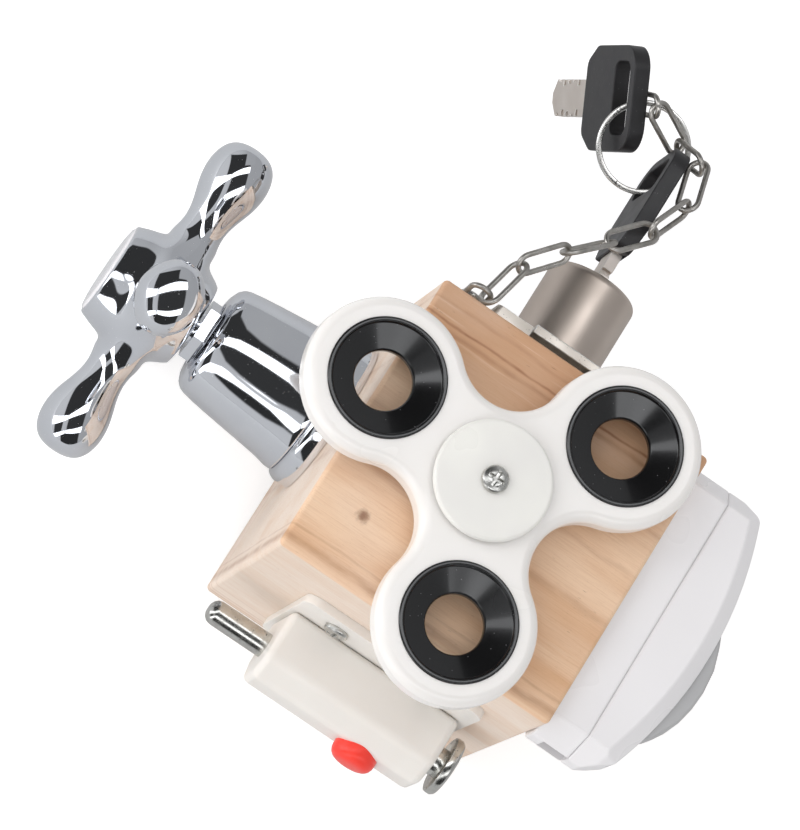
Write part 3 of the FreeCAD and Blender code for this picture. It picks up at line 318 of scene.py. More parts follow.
@dataclass(frozen=True)
class Pine(Finish):
    """Sawn pine with its grain along X, its growth lines, pores and one pin knot; every face but the front
    carries painted light, a paler and greyer wood.
    """

    # Painted light: this colour and the side's deeper tone below make every face but the front paler and
    # greyer than the front wood.
    side: Triple = (236, 221, 207)
    deep: Triple = (222, 178, 140)
    upper: Triple = (200, 156, 122)
    line: Triple = (150, 98, 66)
    pore: Triple = (105, 72, 50)
    painted_light_side_deep: Triple = (229, 206, 186)
    fibre: Triple = (196, 146, 108)
    bright: Triple = (246, 222, 196)
    fleck: Triple = (176, 128, 96)
    ring: Triple = (168, 128, 104)
    knot_heart: Triple = (118, 74, 52)
    stripes: tuple[tuple[float, float, float, float], ...] = (
        (23.1, 0.45, 1.6, 0.75), (21.6, 0.8, 1.8, 0.4), (26.5, 0.7, 1.5, 0.25), (-27.6, 1.5, 1.6, 0.4),
        (-25.2, 0.5, 1.4, 0.25), (12.0, 0.9, 3.0, 0.2), (-8.0, 1.6, 2.4, 0.22), (2.5, 1.2, 3.0, 0.16))
    rings: tuple[Triple, ...] = ((2.6, 0.35, 0.5), (4.3, 0.3, 0.4), (8.2, 0.4, 0.25), (1.2, 0.3, 0.5))
    cube: float = 60.0
    knot: Triple = (-19.5, -17.0, 60.0)

    @staticmethod
    def lay(tree: Tree, base: Any, tone: Triple, value: Any, *limits: float) -> Socket:
        """The base with a tone laid over it where a value lies within the limits of Tree.span."""
        return tree.blend(tree.span(value, *limits), base, linear(*tone))

    def stripe(self, tree: Tree, where: Any, level: float, width: float, wander: float) -> Socket:
        """A growth line along X near one Y level.

        Args:
            tree: the material's tree.
            where: the position in millimetres.
            level: the line's Y.
            width: its half width.
            wander: how far it strays.

        Returns:
            A mask that is 1 on the line.
        """
        parts = tree.add("SeparateXYZ", {0: where})
        stray = tree.noise(tree.place((0.09, 0.12, 0.05), (level, 0, 0)), 1.0, 3.0)
        off = tree.math("SUBTRACT", parts.outputs[1], level - wander / 2)
        off = tree.math("MULTIPLY_ADD", stray, -wander, off)
        return tree.span(tree.math("ABSOLUTE", off), 0.0, width, 1.0, 0.0)

    def material(self, effects: Effects) -> bpy.types.Material:
        """Builds the wood."""
        material, tree, shader = self.start(IOR=1.45)
        where = tree.place((1.0, 1.0, 1.0))
        place = tree.add("SeparateXYZ", {0: where})
        front = tree.span(place.outputs[2], self.cube - 1.3, self.cube - 0.5)
        tone = tree.noise(tree.place((0.02, 0.12, 0.12)), 1.0, 3.0, 0.4)
        patch = tree.noise(tree.place((0.03, 0.05, 0.05), (31.0, 7.0, 3.0)), 1.0, 2.0)
        light = self.lay(tree, linear(*self.color), self.deep, tone, 0.35, 0.75)
        high = tree.math("MULTIPLY_ADD", patch, 16.0, place.outputs[1])
        light = self.lay(tree, light, self.upper, high, 14.0, 34.0, 0.0, 0.85)
        # Painted light: every face but the front gets this paler, greyer wood in place of the front's warm
        # tones.
        pale = self.lay(tree, linear(*self.side), self.painted_light_side_deep, tone, 0.4, 0.75)
        base = tree.blend(front, pale, light)
        base = self.lay(tree, base, self.side, patch, 0.45, 0.8, 0.0, 0.4)
        fibre = tree.noise(tree.place((0.16, 4.2, 4.2)), 1.0, 6.0, 0.2)
        base = self.lay(tree, base, self.fibre, fibre, 0.4, 0.72, 0.0, 0.22)
        streak = tree.noise(tree.place((0.04, 1.1, 1.1), (5.0, 0.0, 0.0)), 1.0, 5.0, 0.3)
        base = self.lay(tree, base, self.deep, streak, 0.56, 0.78, 0.0, 0.35)
        base = self.lay(tree, base, self.bright, streak, 0.42, 0.2, 0.0, 0.4)
        fleck = tree.span(tree.noise(tree.place((0.9, 9.0, 9.0), (4.0, 1.0, 8.0)), 1.0, 2.0), 0.62, 0.76)
        base = tree.blend(tree.math("MULTIPLY", fleck, 0.3), base, linear(*self.fleck))
        for level, width, wander, depth in self.stripes:
            mask = self.stripe(tree, where, level, width, wander)
            broken = tree.noise(tree.place((0.12, 0.3, 0.3), (level, level, 0)), 1.0, 3.0)
            share = tree.math("MULTIPLY", mask, tree.span(broken, 0.3, 0.6, 0.25, 1.0))
            base = tree.blend(tree.math("MULTIPLY", share, depth), base, linear(*self.line))
        for low, width, depth in self.rings:
            off = tree.math("SUBTRACT", place.outputs[2], low)
            off = tree.math("MULTIPLY_ADD", tree.noise(tree.place((0.05, 0.08, 0.1)), 1.0, 2.0), 1.2, off)
            off = tree.math("ABSOLUTE", tree.math("SUBTRACT", off, 0.6))
            base = self.lay(tree, base, self.ring, off, 0.0, width, depth, 0.0)
        pores = tree.noise(tree.place((0.42, 7.0, 7.0), (2.0, 3.0, 1.0)), 1.0, 1.0)
        region = tree.span(tree.noise(tree.place((0.05, 0.09, 0.09), (9.0, 9.0, 9.0)), 1.0, 1.0), 0.42, 0.62)
        pore = tree.math("MULTIPLY", tree.span(pores, 0.735, 0.79), region)
        base = tree.blend(tree.math("MULTIPLY", pore, 0.8), base, linear(*self.pore))
        reach = tree.add("VectorMath", {0: where, 1: self.knot}, operation="DISTANCE").outputs["Value"]
        ragged = tree.math("MULTIPLY_ADD", tree.noise(tree.place((1.2, 1.2, 1.2)), 1.0, 3.0), 1.4, reach)
        base = self.lay(tree, base, self.knot_heart, ragged, 0.9, 2.6, 0.75, 0.0)
        tree.tree.links.new(base, shader.inputs["Base Color"])
        polish = self.group(tree, effects.smudge, Patch=0.2, Tooth=3.0)
        tree.tree.links.new(tree.span(polish.outputs[0], 0.0, 1.0, 0.5, 0.66), shader.inputs["Roughness"])
        height = tree.math("MULTIPLY_ADD", fibre, 0.7, tree.math("MULTIPLY", polish.outputs[1], 0.3))
        height = tree.math("MULTIPLY_ADD", pore, -0.8, height)
        bump = tree.add("Bump", {"Strength": 0.7, "Distance": 0.05 * MM, "Height": height})
        tree.tree.links.new(bump.outputs[0], shader.inputs["Normal"])
        shader.inputs["Specular IOR Level"].default_value = 0.3
        return material


class Look(Enum):
    """The finishes of the cube, by the piece that shows each."""

    PINE = Pine("pine", (241, 208, 177))
    SPINNER = Moulded("spinner_white", (240, 237, 234), 0.24, drift=(238, 235, 231), soft=0.08, relief=0.003)
    CAP = Moulded("cap_white", (240, 239, 232), 0.3, drift=(232, 230, 226), soft=0.05, relief=0.004)
    SWITCH = Moulded("switch_white", (238, 236, 237), 0.3, drift=(237, 235, 236), patch=0.05, relief=0.003)
    ROCKER = Moulded("rocker_grey", (182, 182, 182), 0.34, drift=(179, 179, 180), relief=0.003)
    NYLON = Moulded("latch_nylon", (236, 232, 226), 0.34, drift=(232, 227, 221), patch=0.09, tooth=0.8,
                    relief=0.02, soft=0.25)
    RED = Moulded("button_red", (246, 64, 50), 0.32, drift=(248, 62, 50), relief=0.004, soft=0.05)
    COAT = Moulded("black_coat", (16, 16, 17), 0.24, drift=(20, 20, 21), coat=0.35, relief=0.002, speck=0.05,
                   speck_color=(110, 110, 112))
    KEY_BLACK = Moulded("key_black", (30, 29, 30), 0.42, drift=(38, 37, 39), patch=0.25, relief=0.012,
                        speck=0.1, speck_color=(84, 84, 86))
    INDEX = Moulded("index_enamel", (238, 236, 238), 0.12, drift=(232, 230, 233), coat=0.7)
    PIN = Metal("pin_steel", (214, 213, 208), 0.16, drift=(190, 189, 184), patch=0.5, gloss_drift=0.12,
                tooth=2.0, relief=0.012, speck=0.3, speck_scale=1.6, speck_color=(120, 118, 114))
    CHROME = Metal("chrome", (232, 234, 238), 0.035, drift=(224, 226, 231), gloss_drift=0.03, speck=0.05,
                   speck_scale=3.2)
    NICKEL = Metal("satin_nickel", (214, 201, 190), 0.36, drift=(204, 191, 180), gloss_drift=0.06,
                   relief=0.004, brushed=(9.0, 0.5, 9.0))
    ZINC = Metal("pale_zinc", (236, 228, 218), 0.38, drift=(218, 210, 200), gloss_drift=0.18, relief=0.02,
                 tooth=2.2, speck=0.25, speck_color=(150, 146, 140), edge=(246, 244, 240))
    CHAIN = Metal("chain_steel", (206, 202, 196), 0.26, drift=(164, 160, 154), patch=0.5, gloss_drift=0.2,
                  relief=0.01, tooth=3.5)
    RING = Metal("ring_steel", (236, 234, 230), 0.2, drift=(206, 204, 200), patch=0.3, gloss_drift=0.12)
    BLADE = Metal("blade_nickel", (240, 232, 224), 0.4, drift=(222, 212, 203), gloss_drift=0.1, relief=0.006,
                  brushed=(0.6, 0.6, 6.0), edge=(240, 236, 230))
    SCREW = Metal("screw_steel", (226, 225, 220), 0.24, drift=(176, 175, 171), patch=0.9, gloss_drift=0.15,
                  relief=0.006, speck=0.12, speck_color=(90, 90, 90))
    BEARING = Metal("bearing_steel", (190, 190, 192), 0.18, drift=(170, 170, 172), gloss_drift=0.08)
    BRASS = Metal("brass", (206, 170, 104), 0.25, drift=(184, 146, 84), gloss_drift=0.12)
    SPRING = Metal("spring_wire", (180, 180, 180), 0.22, drift=(150, 150, 150), gloss_drift=0.1)


class Bench:
    """Makes, marks and fits meshes; sizes are millimetres until a piece is fitted."""

    def __init__(self, frame: dict[str, Any]) -> None:
        """Keeps the loaded frame and the materials made so far."""
        self.nodes = frame["nodes"]
        groups = frame["record"]["behaviour"]["bodies"]
        self.body = {node: body for body, members in groups.items() for node in members}
        self.effects = Effects()
        self.made: dict[Look, bpy.types.Material] = {}
        self.count = 0

    def look(self, look: Look) -> bpy.types.Material:
        """The material of a look, built at its first use."""
        if look not in self.made:
            self.made[look] = look.value.material(self.effects)
        return self.made[look]

    @staticmethod
    def lathe(profile: Profile, steps: int = 96) -> Mesh:
        """Turns a profile about Z.

        Args:
            profile: points of radius and height, open or closed at the axis.
            steps: how many steps the turn has.

        Returns:
            The turned mesh, its normals outwards.
        """
        bm = bmesh.new()
        line = [bm.verts.new((radius, 0.0, height)) for radius, height in profile]
        edges = [bm.edges.new(pair) for pair in zip(line, line[1:])]
        bmesh.ops.spin(bm, geom=line + edges, cent=(0, 0, 0), axis=(0, 0, 1), angle=2 * math.pi, steps=steps,
                       use_merge=True, use_duplicate=False)
        bmesh.ops.remove_doubles(bm, verts=bm.verts, dist=1e-4)
        bmesh.ops.recalc_face_normals(bm, faces=bm.faces)
        return bm

    @staticmethod
    def loft(rows: Sequence[Sequence[Triple]]) -> Mesh:
        """Joins rings of points with faces and closes both ends.

        Args:
            rows: rings with equally many points each.

        Returns:
            The closed mesh, its normals outwards.
        """
        bm = bmesh.new()
        rings = [[bm.verts.new(point) for point in row] for row in rows]
        for one, other in zip(rings, rings[1:]):
            for index in range(len(one)):
                after = (index + 1) % len(one)
                bm.faces.new((one[index], one[after], other[after], other[index]))
        bm.faces.new(rings[0][::-1])
        bm.faces.new(rings[-1])
        bmesh.ops.recalc_face_normals(bm, faces=bm.faces)
        return bm

    @staticmethod
    def soften(bm: Mesh, width: float, angle: float = 25.0, segments: int = 3) -> None:
        """Rounds every edge sharper than an angle and marks the new faces as edge.

        Args:
            bm: the mesh.
            width: the rounding's width.
            angle: degrees between faces from which an edge counts as sharp.
            segments: steps across the rounding.
        """
        mark = bm.faces.layers.float.get("edge") or bm.faces.layers.float.new("edge")
        least = math.radians(angle)
        sharp = [edge for edge in bm.edges if edge.is_manifold and edge.calc_face_angle(0.0) > least]
        if not sharp:
            return
        made = bmesh.ops.bevel(bm, geom=sharp, offset=width, segments=segments, profile=0.5, affect="EDGES",
                               clamp_overlap=True, material=-1)
        for face in made["faces"]:
            face[mark] = 1.0

    @staticmethod
    def stand(bm: Mesh, start: Sequence[float], axis: Triple, across: Triple = (0.0, 0.0, 1.0)) -> None:
        """Moves a mesh made along +Z so that it leaves start along axis, its +X towards across."""
        along = Vector(axis).normalized()
        side = (Vector(across) - along * Vector(across).dot(along)).normalized()
        turn = Matrix((side, along.cross(side), along)).transposed().to_4x4()
        bmesh.ops.transform(bm, matrix=Matrix.Translation(Vector(start)) @ turn, verts=bm.verts)

    def from_node(self, node: str, flat: float = 0.25) -> Mesh:
        """A merged copy of a construction mesh, in millimetres.

        Args:
            node: the construction node.
            flat: degrees under which neighbouring faces are made one.

        Returns:
            The copy.
        """
        bm = bmesh.new()
        bm.from_mesh(self.nodes[node].data)
        bmesh.ops.scale(bm, vec=(1 / MM, 1 / MM, 1 / MM), verts=bm.verts)
        bmesh.ops.remove_doubles(bm, verts=bm.verts, dist=2e-4)
        if flat:
            bmesh.ops.dissolve_limit(bm, angle_limit=math.radians(flat), verts=bm.verts, edges=bm.edges)
        return bm

    def fit(self, bm: Mesh, name: str, look: Look, node: str, smooth: float = 35.0,
            subdivide: int = 0) -> bpy.types.Object:
        """Makes a mesh a finished piece that stands for a node, on that node's body.

        Args:
            bm: the mesh in millimetres.
            name: the piece's name.
            look: its finish.
            node: the node it stands for.
            smooth: degrees under which faces shade as one.
            subdivide: levels of subdivision.

        Returns:
            The piece.
        """
        bmesh.ops.scale(bm, vec=(MM, MM, MM), verts=bm.verts)
        mesh = bpy.data.meshes.new(name)
        for face in bm.faces:
            face.smooth = True
        bm.to_mesh(mesh)
        bm.free()
        mesh.set_sharp_from_angle(angle=math.radians(smooth))
        mesh.materials.append(self.look(look))
        piece = bpy.data.objects.new(name, mesh)
        bpy.context.scene.collection.objects.link(piece)
        if subdivide:
            rounded = piece.modifiers.new("rounded", "SUBSURF")
            rounded.levels = rounded.render_levels = subdivide
        else:
            weighted = piece.modifiers.new("even_shading", "WEIGHTED_NORMAL")
            weighted.keep_sharp = True
        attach(piece, self.body[node])
        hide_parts(node)
        self.count += 1
        LOG.info("%s on %s: %d faces", name, self.body[node], len(mesh.polygons))
        return piece

    def turned(self, profile: Profile, name: str, look: Look, node: str, at: Sequence[float], axis: Triple,
               across: Triple = (0.0, 0.0, 1.0), soft: Triple | None = None, steps: int = 96,
               shade: float = 40.0, closed: bool = False) -> None:
        """Makes a turned piece.

        Args:
            profile: points of radius and height.
            name, look, node, shade: as in fit.
            at, axis, across: as in stand.
            soft: width, angle and steps of its rounded edges.
            steps: how many steps the turn has.
            closed: whether the profile's end joins its start.
        """
        bm = self.lathe([*profile, profile[0]] if closed else profile, steps)
        if soft:
            self.soften(bm, soft[0], soft[1], int(soft[2]))
        self.stand(bm, at, axis, across)
        self.fit(bm, name, look, node, shade)

    def smooth_copy(self, node: str, look: Look, width: float = 0.0, angle: float = 25.0, segments: int = 2,
                    shade: float = 35.0, flat: float = 0.25) -> bpy.types.Object:
        """A merged, optionally rounded copy that stands for its node."""
        bm = self.from_node(node, flat if width else 0.0)
        if width:
            self.soften(bm, width, angle, segments)
        return self.fit(bm, node + "_skin", look, node, shade)

    def dress(self, look: Look, *nodes: str) -> None:
        """Gives construction nodes a finish as they are."""
        for node in nodes:
            slots = self.nodes[node].data.materials
            slots.clear()
            slots.append(self.look(look))


@dataclass
class WoodenBlock:
    """The pine cube."""

    straight: float = 0.9999

    def build(self, bench: Bench) -> None:
        """Copies the drilled block, its six sides shaded flat and its edges round."""
        block = bench.smooth_copy("wood_block", Look.PINE)
        for face in block.data.polygons:
            face.use_smooth = max(abs(part) for part in face.normal) < self.straight


@dataclass
class HandSpinner:
    """Three-lobed spinner with weight rings, bearing and cap."""

    hub: Triple = (-4.1, -0.4, 65.2)
    pitch: float = 26.8
    turn: float = 48.7
    body_radius: float = 11.0
    lip_radius: float = 11.4
    mouth: float = 10.5
    hole: float = 5.6
    half: float = 3.4
    lip: float = 0.4
    cap_radius: float = 11.4
    cap_low: float = 69.2
    cap_high: float = 71.0

    def weight(self, bench: Bench, index: int) -> None:
        """One black ring: a rolled lip, a cone and a straight throat."""
        angle = math.radians(self.turn + 120.0 * index)
        at = Vector(self.hub) + self.pitch * Vector((math.cos(angle), math.sin(angle), 0.0))
        top = self.half + self.lip
        hole, mouth, lip, wide, half = self.hole, self.mouth, self.lip_radius, self.body_radius, self.half
        bench.turned([(hole, 0.5), (hole + 0.25, 0.9), (mouth - 0.2, top - 0.55), (mouth, top - 0.05),
                      (mouth + 0.25, top), (lip - 0.2, top), (lip, top - 0.2), (lip, half), (wide, half),
                      (wide, -half), (mouth, -half), (hole + 0.25, -0.9), (hole, -0.5)],
                     "weight_ring_%d" % (index + 1), Look.COAT, "spinner_weight_%d" % (index + 1), at,
                     (0, 0, 1), (1, 0, 0), (0.12, 30.0, 2), 128, closed=True)

    def build(self, bench: Bench) -> None:
        """Builds the spinner's pieces."""
        bench.smooth_copy("spinner_body", Look.SPINNER, shade=40.0)
        for index in range(3):
            self.weight(bench, index)
        rim, low, high = self.cap_radius, self.cap_low, self.cap_high
        bench.turned([(2.1, high), (rim - 0.7, high), (rim - 0.15, high - 0.3), (rim, high - 0.8),
                      (rim - 0.1, low + 0.2), (rim - 0.4, low), (6.0, low), (6.0, 68.7), (3.9, 68.7),
                      (3.9, 65.6), (2.1, 65.6), (2.1, high)], "cap_disc", Look.CAP, "spinner_cap",
                     (self.hub[0], self.hub[1], 0.0), (0, 0, 1), (1, 0, 0), (0.15, 40.0, 2), 128)
        bench.smooth_copy("spinner_screw", Look.SCREW, 0.08, 40.0)
        bench.smooth_copy("bearing_outer_race", Look.BEARING)
        bench.dress(Look.BEARING, "bearing_inner_race", "bearing_balls")
        bench.dress(Look.BRASS, "bearing_cage")
        bench.dress(Look.SPINNER, "spinner_spacer")


@dataclass
class CrossTap:
    """Wall-flanged tap with a shroud and a four-armed handle."""

    wall: Triple = (-30.0, 4.3, 27.5)
    out: Triple = (-1, 0, 0)
    across: Triple = (0, 1, 0)
    arm_turn: float = 12.8
    flange_radius: float = 15.5
    flange_thick: float = 4.6
    shroud_base: float = 14.3
    shroud_top: float = 12.0
    shroud_end: float = 29.0
    hub_middle: float = 40.6
    hub_high: float = 51.0
    hub: tuple[Pair, ...] = (
        (32.0, 9.4), (33.2, 10.4), (36.0, 11.8), (40.6, 12.6), (45.2, 12.6), (48.4, 11.8), (51.0, 10.6))
    arm_rows: tuple[int, ...] = (2, 3)
    stations: tuple[Pair, ...] = (
        (12.9, 6.0), (14.9, 5.2), (17.5, 5.05), (20.3, 5.8), (23.0, 7.0), (25.9, 7.8), (28.8, 7.85),
        (31.6, 6.95), (33.8, 4.8))
    sides: int = 8
    tip: float = 1.0
    button_radius: float = 9.0

    def handle(self, bench: Bench) -> None:
        """An eight-sided cage whose four sides are drawn out into necks and balls, then rounded."""
        turns = [2 * math.pi * step / self.sides for step in range(self.sides)]
        bm = bench.loft([[(radius * math.cos(turn), radius * math.sin(turn), height) for turn in turns]
                         for height, radius in self.hub])
        bm.faces.ensure_lookup_table()
        first = {step: [bm.faces[row * self.sides + side % self.sides] for row in self.arm_rows
                        for side in (step - 1, step)] for step in range(0, self.sides, 2)}
        for step, faces in first.items():
            self.arm(bm, faces, Vector((math.cos(turns[step]), math.sin(turns[step]), 0.0)))
        crease = bm.edges.layers.float.new("crease_edge")
        for edge in bm.edges:
            if all(vert.co.z > self.hub_high - 0.01 for vert in edge.verts):
                edge[crease] = 0.9
            elif all(vert.co.z < self.hub[0][0] + 0.01 for vert in edge.verts):
                edge[crease] = 0.7
        bmesh.ops.recalc_face_normals(bm, faces=bm.faces)
        bmesh.ops.transform(bm, matrix=Matrix.Rotation(math.radians(-self.arm_turn), 4, "Z"), verts=bm.verts)
        bench.stand(bm, self.wall, self.out, self.across)
        bench.fit(bm, "cross_handle", Look.CHROME, "tap_handle", 180.0, 3)

    def arm(self, bm: Mesh, faces: list[bmesh.types.BMFace], out: Vector) -> None:
        """Draws one side of the hub out into an arm.

        Args:
            bm: the cage.
            faces: the side's four faces.
            out: the way the arm leads.
        """
        centre = Vector((0.0, 0.0, self.hub_middle))
        last = len(self.stations) - 1
        for index, (reach, radius) in enumerate(self.stations):
            made = bmesh.ops.extrude_face_region(bm, geom=faces)["geom"]
            bmesh.ops.delete(bm, geom=faces, context="FACES")
            faces = [item for item in made if isinstance(item, bmesh.types.BMFace)]
            for vert in {vert for face in faces for vert in face.verts}:
                spoke = vert.co - centre
                spoke -= out * spoke.dot(out)
                if all(face in faces for face in vert.link_faces):
                    vert.co = centre + out * (reach + (self.tip if index == last else 0.0))
                else:
                    vert.co = centre + out * reach + spoke.normalized() * radius

    def build(self, bench: Bench) -> None:
        """Builds the tap's pieces."""
        thick, wide = self.flange_thick, self.flange_radius
        place = (self.wall, self.out, self.across)
        bench.turned([(8.9, 0.0), (wide, 0.0), (wide, thick - 1.6), (wide - 0.5, thick - 0.5),
                      (wide - 1.3, thick), (8.9, thick)], "wall_flange", Look.CHROME, "tap_flange", *place,
                     (0.3, 30.0, 3), closed=True)
        base, top, end = self.shroud_base, self.shroud_top, self.shroud_end
        bench.turned([(12.1, thick), (base, thick), (base - 0.05, thick + 1.4), (base - 0.5, 8.0),
                      (base - 1.0, 12.0), (base - 1.5, 16.5), (top + 0.35, 20.5), (top - 0.1, 24.0),
                      (top - 0.5, end - 2.8), (top - 0.9, end - 1.7), (top - 1.8, end - 0.8),
                      (top - 3.2, end - 0.2), (top - 4.6, end), (6.7, end), (6.7, 26.6), (9.8, 26.6)],
                     "tapered_shroud", Look.CHROME, "tap_shroud", *place, (0.45, 22.0, 4), 128, 60.0, True)
        self.handle(bench)
        rim = self.button_radius
        bench.turned([(0.0, 49.9), (rim, 49.9), (rim, 51.1), (rim - 0.35, 51.35), (rim - 1.2, 51.5),
                      (5.0, 51.58), (0.0, 51.6)], "index_button", Look.INDEX, "tap_button", *place,
                     (0.12, 30.0, 2), shade=50.0)
        bench.smooth_copy("tap_gland_nut", Look.CHROME, 0.35, 25.0, 3)
        bench.smooth_copy("tap_spindle", Look.CHROME)
        bench.dress(Look.BRASS, "tap_valve")
        bench.dress(Look.SCREW, "tap_handle_screw")


@dataclass
class CylinderLock:
    """Plate, bolt and satin cylinder."""

    axis: Triple = (-2.5, 32.2, 38.5)
    radius: float = 9.2
    length: float = 20.3
    throat: float = 5.25

    def build(self, bench: Bench) -> None:
        """Builds the lock's pieces."""
        bench.smooth_copy("lock_plate", Look.ZINC, 0.22, 40.0)
        bench.smooth_copy("lock_bolt", Look.ZINC, 0.25, 40.0)
        throat, wide, end = self.throat, self.radius, self.length
        bench.turned([(throat, -2.2), (7.0, -2.2), (7.0, 0.0), (wide, 0.0), (wide, end - 1.25),
                      (wide - 0.35, end - 0.4), (wide - 1.2, end), (throat, end)], "satin_cylinder",
                     Look.NICKEL, "lock_cylinder", self.axis, (0, 1, 0), soft=(0.35, 20.0, 4), steps=128,
                     closed=True)
        bench.smooth_copy("lock_plug", Look.NICKEL)
        bench.smooth_copy("lock_plate_screws", Look.SCREW)
        bench.dress(Look.ZINC, "lock_case")
        bench.dress(Look.BRASS, "lock_wafers")


@dataclass
class KeysAndChain:
    """Both keys, the split ring and the chain."""

    links: int = 10

    def build(self, bench: Bench) -> None:
        """Builds keys, ring and links."""
        for name in ("key", "spare_key"):
            bench.smooth_copy(name + "_head", Look.KEY_BLACK, 0.55, 40.0, 3)
            bench.smooth_copy(name + "_blade", Look.BLADE, 0.12, 40.0)
        bench.smooth_copy("split_ring", Look.RING, 0.2, 50.0, 2, flat=0.0)
        for index in range(self.links):
            bench.smooth_copy("chain_link_%d" % index, Look.CHAIN, shade=60.0)
        bench.smooth_copy("chain_anchor_screw", Look.SCREW)


@dataclass
class CordSwitch:
    """In-line rocker switch: two shells with a common arched outline, and a rocker."""

    wall: float = 30.0
    split: float = 38.3
    shoulder: float = 16.0
    crown: float = 21.0
    low: float = -30.5
    high: float = 30.0
    middle: float = 47.8
    width: float = 17.0
    drop: float = 3.4
    slope: float = 4.0
    corner: Pair = (4.1, 5.8)
    mouth: tuple[float, float, float] = (-20.9, 8.9, 4.0)
    cord: Pair = (5.6, 4.9)
    steps: int = 56
    rocker: tuple[Pair, ...] = (
        (44.6, -18.6), (46.6, -19.8), (48.4, -20.1), (49.8, -18.9), (51.2, -16.6), (52.6, -13.2),
        (53.4, -9.6), (53.7, -5.8), (53.3, -1.0), (52.0, 3.2), (50.6, 6.6), (49.6, 7.7), (47.6, 7.6),
        (45.2, 5.9))

    def outline(self, drop: float) -> list[Pair]:
        """The side outline at one depth, from the wall round the arch and back.

        Args:
            drop: how much the arch is lowered.

        Returns:
            Points of X and Y.
        """
        low, high, edge = self.low + 3.4, self.high - 2.0, self.shoulder - drop
        half = (self.high - self.low) / 2 - 2.7
        rise = self.crown - self.shoulder
        radius = (half * half + rise * rise) / (2 * rise)
        points = [(0.0, self.low), (edge - 5.0, self.low - 0.3)]
        for step in range(self.steps + 1):
            along = low + (high - low) * step / self.steps
            reach = (along - (low + high) / 2) / ((high - low) / 2) * half
            points.append((edge + rise - radius + math.sqrt(radius * radius - reach * reach), along))
        points += [(edge - 4.0, self.high), (0.0, self.high)]
        return [(self.wall + out, along) for out, along in points]

    def shell(self, bench: Bench, cover: bool) -> Mesh:
        """One shell: the common body cut at the split, with its corners cut and its edges rounded."""
        half, slope = self.width / 2, self.slope
        levels = ((-half, self.drop), (slope - half, 0), (half - slope, 0), (half, self.drop))
        bm = bench.loft([[(out, along, self.middle + depth) for out, along in self.outline(drop)]
                         for depth, drop in levels])
        cuts = [((self.split, 0, 0), (-1, 0, 0) if cover else (1, 0, 0))]
        inward, across = self.corner
        for end, way in ((self.low, -1), (self.high, 1)):
            for side in (-1, 1):
                corner = (0, end - way * inward, self.middle + side * half)
                cuts.append((corner, (0, way * across, side * inward)))
        for place, normal in cuts:
            whole = bm.verts[:] + bm.edges[:] + bm.faces[:]
            made = bmesh.ops.bisect_plane(bm, geom=whole, plane_co=place, plane_no=normal, clear_outer=True,
                                          dist=1e-4)
            rim = [item for item in made["geom_cut"] if isinstance(item, bmesh.types.BMEdge)]
            bmesh.ops.contextual_create(bm, geom=rim)
        bmesh.ops.recalc_face_normals(bm, faces=bm.faces)
        bench.soften(bm, 0.55, 14.0, 3)
        return bm

    @staticmethod
    def carve(piece: bpy.types.Object, lows: Triple, highs: Triple) -> None:
        """Cuts a box out of a finished shell.

        Args:
            piece: the shell.
            lows, highs: the box's corners in millimetres.
        """
        bm = bmesh.new()
        bmesh.ops.create_cube(bm, size=1.0)
        bmesh.ops.scale(bm, vec=[high - low for low, high in zip(lows, highs)], verts=bm.verts)
        bmesh.ops.translate(bm, vec=[(high + low) / 2 for low, high in zip(lows, highs)], verts=bm.verts)
        bmesh.ops.scale(bm, vec=(MM, MM, MM), verts=bm.verts)
        mesh = bpy.data.meshes.new("cutter")
        bm.to_mesh(mesh)
        bm.free()
        cutter = bpy.data.objects.new("cutter", mesh)
        bpy.context.scene.collection.objects.link(cutter)
        cut = piece.modifiers.new("cut", "BOOLEAN")
        cut.operation, cut.object, cut.solver = "DIFFERENCE", cutter, "EXACT"
        bpy.context.view_layer.update()
        done = bpy.data.meshes.new_from_object(piece.evaluated_get(bpy.context.evaluated_depsgraph_get()))
        piece.modifiers.clear()
        old, piece.data = piece.data, done
        bpy.data.meshes.remove(old)
        bpy.data.objects.remove(cutter)
        bpy.data.meshes.remove(mesh)

    def build(self, bench: Bench) -> None:
        """Builds shells, rocker and contacts."""
        low, high, half = self.mouth
        cover = bench.fit(self.shell(bench, True), "switch_cover_shell", Look.SWITCH, "switch_cover", 30.0)
        self.carve(cover, (43.4, low, self.middle - half), (60.0, high, self.middle + half))
        base = bench.fit(self.shell(bench, False), "switch_base_shell", Look.SWITCH, "switch_base", 30.0)
        tall, wide = self.cord
        for end in (self.low, self.high):
            reach = sorted((end - math.copysign(9.0, end), end + math.copysign(2.0, end)))
            self.carve(base, (self.split - tall, reach[0], self.middle - wide / 2),
                       (self.split + 1.0, reach[1], self.middle + wide / 2))
        thick = half - 0.3
        bm = bench.loft([[(out, along, self.middle + side * thick) for out, along in self.rocker]
                         for side in (-1, 1)])
        bench.soften(bm, 0.6, 60.0, 4)
        bench.fit(bm, "rocker_cap", Look.ROCKER, "switch_rocker", 50.0)
        bench.dress(Look.SCREW, "switch_pivot", "switch_screws")
        bench.dress(Look.BRASS, "switch_moving_contact", "switch_contacts")


